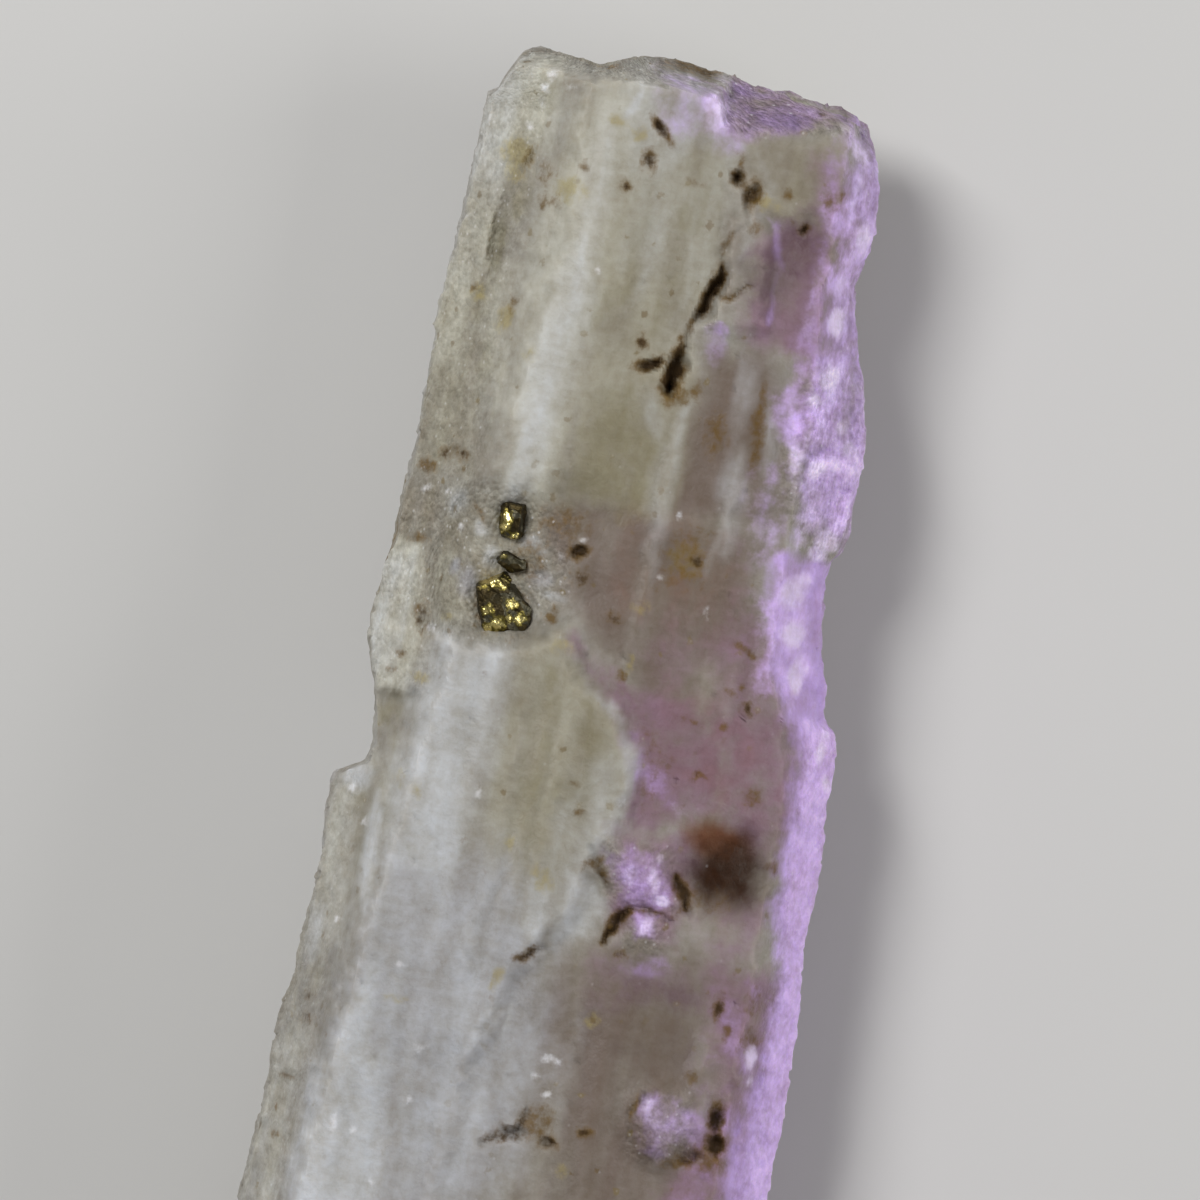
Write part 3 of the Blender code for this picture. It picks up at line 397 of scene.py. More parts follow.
# Tints of the front. Fields: how softly the outline ends, strength, outline.
TINT_FIELDS = {
    "tan": (
        (1.6, 0.5, ((-7.2, 9.6), (-5.0, 9.4), (-4.6, 7.6), (-7.2, 7.6))),
        (1.8, 1.0, ((1.9, 14.6), (3.4, 14.8), (4.6, 13.6), (5.0, 9.6), (1.0, 9.2), (1.4, 12.4))),
        (1.8, 0.78, ((-1.6, 9.8), (5.0, 9.8), (5.1, 5.0), (4.4, 3.4), (2.4, 3.0), (1.2, 4.2), (-0.3, 5.6),
         (-1.4, 6.6))),
        # This tan field is brownish colour that also paints the shadow below the end of the crest's upper
        # block.
        (1.2, 0.8, ((-2.4, 9.2), (-0.2, 9.9), (1.0, 10.2), (0.6, 7.6), (-1.0, 7.2), (-2.0, 8.0))),
        (1.8, 0.9, ((1.6, -4.6), (5.0, -4.6), (5.4, -7.2), (4.8, -8.0), (1.0, -6.8))),
        (3.4, 0.8, ((1.0, -3.2), (5.6, -3.4), (5.8, -9.0), (6.0, -24.0), (-0.8, -24.0), (0.6, -9.0),
         (0.2, -5.2))),
        (1.6, 0.3, ((1.8, 18.8), (3.2, 18.8), (3.6, 15.0), (1.4, 15.0))),
        (1.4, 0.65, ((2.0, 21.2), (5.0, 21.4), (5.0, 18.6), (2.4, 18.6))),
        (1.6, 0.7, ((4.2, 0.8), (6.4, 0.6), (6.6, -1.6), (5.8, -2.4), (4.0, -2.0), (3.6, -0.6))),
    ),
    "cream": (
        (1.2, 0.82, ((-1.7, 20.6), (1.5, 20.6), (1.7, 17.0), (1.2, 15.2), (2.0, 13.0), (1.6, 9.6),
         (-2.0, 9.4), (-1.8, 14.0))),
        (0.9, 0.6, ((1.9, 21.0), (3.3, 21.3), (5.0, 21.6), (5.1, 19.4), (4.4, 18.8), (2.6, 18.9))),
        (1.2, 0.26, ((4.3, -1.9), (6.3, -1.8), (6.6, -2.9), (4.8, -3.2))),
        (1.2, 0.85, ((-2.3, 5.1), (-0.9, 5.6), (-0.1, 4.3), (1.0, 3.2), (1.4, 2.0), (1.0, 0.2), (0.4, -1.4),
         (-0.6, -3.6), (-1.8, -3.0), (-2.3, 0.0))),
        (1.6, 0.7, ((-7.0, 15.6), (-4.6, 15.6), (-4.2, 9.5), (-7.0, 9.5))),
        (1.6, 0.5, ((-7.0, 9.6), (-2.4, 9.6), (-1.4, 7.0), (-2.4, 5.2), (-5.0, 5.2), (-7.0, 7.4))),
    ),
    "mauve": (
        (1.3, 0.9, ((2.9, 18.3), (5.0, 19.2), (5.5, 16.4), (5.2, 14.6), (3.1, 14.9), (2.8, 16.8))),
        (2.2, 0.75, ((4.3, 20.6), (6.6, 20.6), (6.4, 15.0), (7.0, 12.0), (4.4, 12.4))),
        (1.8, 0.26, ((1.4, 6.6), (5.0, 7.4), (5.4, 3.4), (2.4, 3.0), (1.0, 4.6))),
        (1.1, 0.84, ((-0.7, 5.4), (1.2, 4.2), (3.0, 4.2), (4.6, 3.0), (4.4, 0.9), (1.8, -0.2), (1.8, 2.2))),
        (1.8, 0.8, ((4.0, 7.4), (7.2, 5.8), (8.4, 2.0), (8.4, -0.8), (4.6, 0.6), (3.6, 3.0))),
        (1.6, 0.85, ((4.8, -3.4), (8.6, -3.4), (8.6, -8.0), (8.6, -24.0), (4.2, -24.0), (4.8, -10.0),
         (5.6, -7.6))),
        (1.4, 0.42, ((4.5, -1.4), (6.6, -1.4), (6.6, -3.6), (4.6, -3.6))),
        (1.6, 0.3, ((1.6, -3.0), (4.6, -3.2), (5.0, -5.2), (1.4, -5.4), (0.8, -4.2))),
        (0.6, 0.7, END_FACE),
        (1.4, 0.75, ((1.4, 0.2), (4.2, 0.2), (4.0, -3.2), (1.6, -2.8))),
    ),
    "olive": (
        (1.6, 0.68, ((-1.3, 12.4), (0.6, 12.8), (1.3, 11.0), (1.0, 9.4), (-1.8, 9.2))),
    ),
    "haze": (
        (3.0, 0.9, ((-5.2, -1.6), (-1.4, -1.2), (0.2, -3.6), (0.4, -6.0), (0.6, -8.6), (-0.6, -12.0),
         (-1.6, -20.0), (-6.8, -20.0), (-6.4, -9.0), (-5.6, -5.0))),
        (0.9, 0.45, LEFT_EDGE),
        (0.6, 0.3, END_FACE),
        (1.6, 0.3, ((0.2, -5.2), (1.8, -5.4), (1.8, -7.4), (0.2, -7.4))),
    ),
    "bone": (
        # The first bone field runs along the crest: milky white that also paints the crest's highlight.
        (1.8, 0.66, ((-2.0, 9.1), (-3.5, 9.4), (-3.9, 12.0), (-3.9, 16.0), (-3.6, 19.0), (-3.0, 22.0),
         (-1.0, 22.0), (-1.2, 19.0), (-1.4, 15.0), (-1.7, 12.0))),
        (1.8, 0.9, ((-7.0, 22.6), (-3.6, 22.6), (-3.8, 19.8), (-4.9, 18.8), (-7.0, 18.2))),
        (2.6, 0.8, ((-7.0, 20.0), (-5.0, 20.0), (-5.2, 15.6), (-5.7, 13.0), (-7.0, 13.0))),
        (0.9, 1.0, ((-7.2, 7.6), (-5.7, 7.5), (-5.2, 6.0), (-5.1, 4.4), (-5.4, 3.2), (-7.2, 3.0))),
        (0.9, 0.48, ((-7.6, 0.6), (-6.4, 0.9), (-5.9, 0.2), (-6.3, -1.0), (-6.3, -4.6), (-7.6, -5.0))),
        (0.9, 0.44, LEFT_EDGE),
        (1.4, 0.56, ((-5.1, 16.0), (-3.8, 16.4), (-3.8, 12.4), (-4.9, 12.4))),
        (1.4, 0.32, ((2.9, 5.4), (4.3, 5.4), (4.4, 3.9), (3.0, 3.9))),
    ),
    "white": (
        (1.6, 0.8, ((-5.3, 0.8), (-4.7, 4.9), (-3.4, 4.8), (-2.3, 5.0), (-2.6, 2.0), (-2.8, -1.0),
         (-2.8, -2.2), (-5.2, -2.4))),
        (2.0, 0.42, ((-5.6, -1.0), (-0.8, -1.6), (0.4, -3.0), (-0.6, -5.0), (0.4, -7.6), (-0.6, -10.0),
         (-3.4, -20.0), (-6.8, -20.0), (-6.2, -8.0))),
        (1.6, 0.95, ((-6.0, -8.0), (-4.0, -7.4), (-3.4, -11.0), (-4.0, -20.0), (-6.6, -20.0))),
        (1.2, 0.45, ((-7.2, 7.4), (-5.6, 7.2), (-5.3, 5.6), (-5.4, 4.2), (-5.6, 3.4), (-7.2, 3.2))),
        (1.8, 0.54, ((-7.0, 22.6), (-4.8, 22.6), (-5.1, 18.6), (-7.0, 16.4))),
        (1.6, 0.24, ((-1.4, 20.4), (1.4, 20.4), (1.6, 16.4), (-1.2, 16.4))),
        (1.4, 0.4, ((-1.8, 22.8), (1.2, 22.6), (1.2, 20.8), (-0.4, 19.2), (-1.6, 19.2))),
        (1.0, 0.4, ((0.2, 2.0), (1.6, 2.4), (1.7, 0.2), (0.6, -2.4), (-0.8, -3.8), (-0.9, -1.8))),
        (1.6, 0.28, ((3.8, 14.6), (5.4, 14.6), (5.6, 10.0), (4.4, 12.0))),
        # This white field is pale colour that also paints light over the layer's riser left of the lump,
        # lifting its shade.
        (0.8, 0.8, ((0.2, -1.2), (1.35, -1.6), (1.75, -2.4), (1.2, -3.2), (0.2, -3.6))),
        (1.4, 0.26, ((3.9, 11.6), (4.9, 11.6), (4.8, 8.8), (4.0, 8.6))),
        (1.4, 0.25, ((4.2, 8.8), (5.2, 8.8), (5.6, 4.4), (4.6, 4.4))),
    ),
    # Painted violet light from the right, laid on as a lilac tint over the flank, the lumps and the upper
    # end.
    "lilac": (
        (2.2, 0.82, ((5.1, 22.0), (9.0, 22.4), (9.0, 14.0), (5.0, 14.0), (5.3, 17.0), (5.2, 19.5))),
        (2.4, 0.78, ((4.7, 14.6), (9.0, 14.6), (9.0, 9.2), (6.0, 9.4), (5.3, 10.6), (5.1, 11.6))),
        (1.0, 1.1, ((4.9, 8.8), (9.0, 9.2), (9.0, 4.0), (6.1, 4.0), (5.4, 5.2))),
        (1.0, 1.1, ((6.3, 4.6), (9.0, 4.6), (9.0, -24.0), (6.5, -24.0), (6.6, -9.2), (6.8, -7.4),
         (7.05, -5.8), (7.15, -3.2), (6.6, -1.4), (6.6, 2.0))),
        (1.8, 0.16, ((5.2, -4.0), (9.0, -4.0), (9.0, -24.0), (5.0, -24.0))),
        (1.8, 0.24, ((5.4, -8.8), (9.0, -8.8), (9.0, -24.0), (5.2, -24.0))),
        (0.6, 0.37, ((1.2, 22.7), (1.2, 21.3), (2.0, 21.0), (3.3, 21.4), (4.9, 22.1), (4.6, 22.9))),
        (0.6, 0.46, ((1.33, -0.7), (2.13, -0.3), (2.9, -0.3), (3.2, -0.6), (3.5, -1.8), (3.0, -2.2),
         (2.5, -2.25), (2.1, -2.0), (1.7, -1.5))),
        (0.5, 0.74, ((2.57, -2.36), (3.14, -2.36), (3.1, -2.9), (2.57, -3.35), (2.5, -3.1))),
        (0.5, 0.3, ((3.68, -7.62), (4.23, -7.34), (4.82, -7.61), (5.5, -7.86), (5.8, -8.6), (5.27, -9.2),
         (4.44, -9.6), (3.86, -9.5), (3.65, -8.81))),
        (0.6, 0.2, ((5.2, -5.8), (5.9, -5.7), (6.2, -7.0), (5.3, -7.2))),
        (1.4, 0.5, ((-0.8, 22.6), (1.4, 22.6), (1.6, 20.8), (-0.2, 20.8))),
    ),
    # Painted sheen: the palest lit streaks of the violet light on the flank.
    "frost": (
        (1.8, 0.3, ((3.9, 14.4), (5.6, 14.6), (5.8, 10.0), (4.6, 12.0))),
        (1.4, 0.32, ((3.9, 11.6), (4.8, 11.6), (4.7, 8.8), (4.0, 8.6))),
        (1.4, 0.34, ((4.6, 7.4), (5.6, 7.4), (5.8, 4.4), (4.8, 4.4))),
        (1.6, 0.7, ((4.9, 19.5), (6.5, 19.5), (6.2, 16.8), (5.0, 17.0))),
        (0.6, 1.0, ((6.7, 4.0), (9.0, 4.0), (9.0, -2.0), (6.9, -2.0))),
        (1.4, 0.8, ((5.6, 12.4), (7.2, 12.6), (7.2, 10.2), (5.9, 10.4))),
        (0.4, 0.62, ((5.0, 8.5), (6.0, 8.6), (6.45, 5.7), (6.3, 4.4), (6.0, 4.4), (5.45, 5.6))),
        (0.9, 1.0, ((6.8, 4.0), (9.0, 4.0), (9.0, -24.0), (6.9, -24.0), (7.3, -6.0), (7.3, -3.4),
         (6.9, -1.4))),
    ),
    "rust": (
        (1.4, 0.5, ((1.7, 9.0), (2.8, 9.2), (2.8, 7.6), (1.6, 7.4))),
    ),
    "sienna": (
        (2.4, 0.24, ((2.4, 4.6), (5.6, 4.2), (6.4, 1.0), (4.4, 0.6), (2.4, 2.4))),
        (3.0, 0.28, ((0.4, 9.4), (3.6, 9.4), (4.2, 7.0), (3.0, 6.0), (0.4, 6.4))),
    ),
    "umber": (
        (1.7, 0.95, ((4.2, 0.1), (5.3, 0.5), (6.1, -0.4), (5.8, -1.5), (4.6, -1.8), (3.8, -1.0))),
        (2.2, 0.29, ((2.2, -3.9), (5.0, -3.9), (5.2, -6.0), (3.8, -7.0), (2.4, -6.6))),
        (0.9, 1.0, ((4.6, -0.1), (5.3, 0.1), (5.7, -0.5), (5.4, -1.1), (4.8, -1.2), (4.4, -0.7))),
        (1.3, 0.5, ((2.4, 17.2), (3.5, 18.2), (4.1, 19.1), (4.9, 18.6), (4.5, 17.2), (4.0, 16.2),
         (3.3, 16.0), (2.8, 16.4))),
        (1.0, 0.3, ((-7.2, -5.0), (-5.9, -4.8), (-5.9, -7.4), (-7.4, -7.6))),
    ),
    "dark": (
        (0.16, 1.0, ((1.83, 17.2), (1.98, 16.9), (1.95, 16.5), (1.8, 16.0), (1.66, 15.7), (1.46, 15.55),
         (1.45, 15.85), (1.55, 16.4), (1.7, 16.9))),
        (0.16, 1.0, ((1.05, 14.9), (1.15, 14.3), (1.25, 13.75), (1.22, 13.3), (0.98, 13.1), (0.66, 13.32),
         (0.82, 13.62), (0.92, 14.1))),
    ),
    # Painted highlights of the violet light on the flank.
    "gleam": (
        (0.8, 0.2, ((5.3, 22.0), (9.0, 22.0), (9.0, 9.0), (5.4, 9.0))),
    ),
}
# Bands: width, strength, path.
TINT_BANDS = {
    "cream": (
        (0.9, 0.7, ((-5.5, 0.6), (-5.45, -1.8), (-5.5, -3.8))),
        (0.5, 0.9, ((-0.5, 4.6), (0.5, 3.5), (1.3, 2.2), (1.3, 0.6), (0.7, -0.8))),
    ),
    "mauve": (
        (0.4, 0.9, ((6.2, 8.7), (6.55, 6.6), (6.8, 4.9))),
        (0.7, 0.95, ((0.9, 4.3), (1.7, 3.6), (2.2, 2.6), (2.1, 1.2), (1.8, 0.3))),
    ),
    "olive": (
        (0.5, 0.8, ((-0.2, 13.0), (-0.3, 11.4), (-0.5, 9.8))),
        (0.9, 0.6, ((-4.5, 19.2), (-4.95, 17.6), (-5.05, 16.0), (-5.0, 14.6))),
        (0.6, 0.5, ((-0.5, 19.4), (-0.6, 17.0), (-0.9, 15.0))),
        (0.5, 0.45, ((0.5, 18.6), (0.5, 16.4), (0.2, 14.8))),
        (0.6, 0.5, ((-1.2, 18.2), (-1.35, 16.4), (-1.5, 14.6))),
        (0.5, 0.6, ((1.1, 19.4), (1.0, 17.8))),
        (0.3, 0.5, ((-5.9, 0.1), (-6.0, -1.8), (-6.05, -3.5))),
        (0.7, 0.95, ((0.2, 3.8), (0.45, 2.0), (0.4, 0.2))),
        (0.6, 0.5, ((-1.1, 4.4), (-1.0, 2.0), (-1.2, -0.4))),
    ),
    "bone": (
        # Both bone bands run along the crest: milky white that also paints the highlight along it.
        (1.1, 0.7, ((-2.1, 20.6), (-2.2, 17.6))),
        (1.4, 1.0, ((-2.2, 18.0), (-2.35, 15.6), (-2.7, 12.6), (-3.0, 9.6))),
    ),
    "white": (
        # The first two white bands run along the crest: milky white that also paints the highlight along it.
        (1.1, 0.42, ((-2.1, 21.0), (-2.2, 17.2))),
        (1.3, 0.66, ((-2.25, 17.4), (-2.35, 15.6), (-2.7, 12.6), (-3.05, 9.2))),
        (1.5, 1.0, ((-5.7, -14.0), (-5.4, -10.0), (-5.1, -7.2), (-4.9, -5.2))),
        (0.9, 0.5, ((-3.6, -14.0), (-3.4, -10.0), (-3.3, -7.8))),
        (0.55, 0.9, ((-5.55, -0.1), (-5.5, -1.8), (-5.45, -3.6))),
        (0.7, 0.36, ((1.9, 13.3), (1.65, 12.7), (1.4, 12.0), (1.15, 10.5), (1.28, 8.3), (1.4, 7.2))),
        (0.5, 0.44, ((3.45, 11.4), (3.2, 9.6), (2.9, 7.9))),
        (0.4, 0.7, ((-1.3, -5.7), (-1.55, -6.6), (-1.8, -7.3))),
        (0.35, 0.6, ((-0.6, -5.6), (-0.9, -6.8))),
        (0.35, 0.8, ((-1.3, 21.9), (-1.6, 21.0))),
        (0.55, 0.5, ((0.1, 4.0), (0.75, 3.6), (1.2, 3.1), (1.7, 1.9), (1.6, 0.8), (1.3, -0.1), (0.75, -0.8),
         (0.2, -1.5))),
        (0.5, 0.35, ((4.75, 13.9), (4.7, 12.0))),
        (0.4, 0.28, ((-0.1, 19.6), (-0.2, 17.4), (-0.5, 15.2))),
        (0.9, 0.5, ((3.45, 11.8), (3.3, 8.6))),
        (0.8, 0.3, ((3.0, 14.9), (3.25, 13.6), (3.2, 12.0))),
        (0.6, 0.36, ((4.1, 13.0), (4.25, 12.0), (4.2, 11.0))),
        (0.4, 0.3, ((1.0, 16.4), (0.7, 14.9))),
        (0.5, 0.3, ((2.3, 20.9), (3.0, 19.6), (2.7, 18.6), (2.5, 17.4))),
        (0.6, 0.4, ((0.4, 12.9), (0.9, 11.6))),
    ),
    # Painted violet light: a lit line on the block's right riser and lit streaks beside the layer's edge.
    "lilac": (
        (0.3, 0.5, ((3.0, 18.76), (3.35, 18.46), (3.57, 17.16), (3.56, 15.57))),
        (0.3, 0.2, ((1.45, 3.3), (1.85, 2.6), (1.95, 1.9), (1.9, 1.2))),
        (0.6, 0.2, ((1.95, 2.2), (2.7, 1.4), (3.4, 0.9), (3.7, 0.7))),
    ),
    "ochre": (
        (0.3, 0.5, ((-5.1, 0.6), (-4.9, 0.2))),
        (0.25, 0.5, ((-4.6, 0.4), (-4.4, 0.1))),
        (0.25, 0.9, ((-1.15, -4.62), (-1.26, -4.9), (-1.39, -5.2))),
        (0.2, 0.5, ((-4.53, -6.1), (-4.0, -6.0), (-3.58, -5.9))),
        (0.25, 0.8, ((1.05, 4.75), (1.22, 5.0), (1.1, 5.25))),
    ),
    "rust": (
        (0.9, 0.28, ((1.9, 3.2), (2.5, 2.2), (2.3, 0.8))),
        (0.22, 0.95, ((4.12, 6.08), (4.48, 5.87), (4.85, 5.76))),
        (0.2, 0.6, ((2.9, 3.6), (3.2, 3.52), (3.52, 3.44))),
        (0.2, 0.8, ((3.66, 1.95), (3.84, 2.06), (4.05, 1.98))),
        (0.2, 0.8, ((-4.2, 8.9), (-3.95, 8.7), (-3.78, 8.4))),
        (0.22, 0.6, ((-5.98, 7.58), (-5.7, 7.64), (-5.36, 7.58))),
        (0.26, 0.8, ((0.74, -1.23), (1.17, -0.96), (1.4, -1.25), (1.66, -1.6))),
        (0.35, 0.75, ((3.7, 13.8), (3.84, 12.3), (3.88, 11.3))),
        (0.25, 0.7, ((1.85, 20.5), (1.95, 20.0))),
        (0.2, 0.6, ((2.15, 18.2), (1.98, 17.9), (1.82, 17.6), (1.88, 17.2))),
        (0.22, 0.8, ((1.9, 16.27), (2.1, 16.18), (2.33, 16.22), (2.53, 16.44), (2.8, 16.65))),
        (0.16, 0.8, ((-7.12, -8.75), (-6.65, -8.85))),
        (0.2, 0.7, ((1.5, 15.6), (1.32, 15.3), (1.2, 15.05), (1.1, 14.7))),
        (0.18, 0.7, ((2.4, -2.25), (2.75, -2.32), (3.05, -2.24), (3.4, -2.3))),
        (0.18, 0.75, ((4.02, -1.82), (3.8, -2.1), (3.54, -2.33))),
    ),
    "dark": (
        (0.28, 1.0, ((2.4, -2.3), (1.98, -2.63), (1.68, -3.25))),
        (0.26, 1.0, ((3.66, -1.2), (3.85, -1.55), (4.02, -1.9))),
        (0.2, 0.8, ((-0.6, -4.25), (-0.34, -4.0), (-0.2, -3.86))),
        (0.22, 0.52, ((-0.87, -9.78), (-0.5, -9.53), (0.0, -9.35))),
        (0.2, 0.5, ((0.0, -9.3), (0.26, -8.7))),
        (0.18, 0.5, ((0.4, 6.22), (0.75, 6.2))),
    ),
}
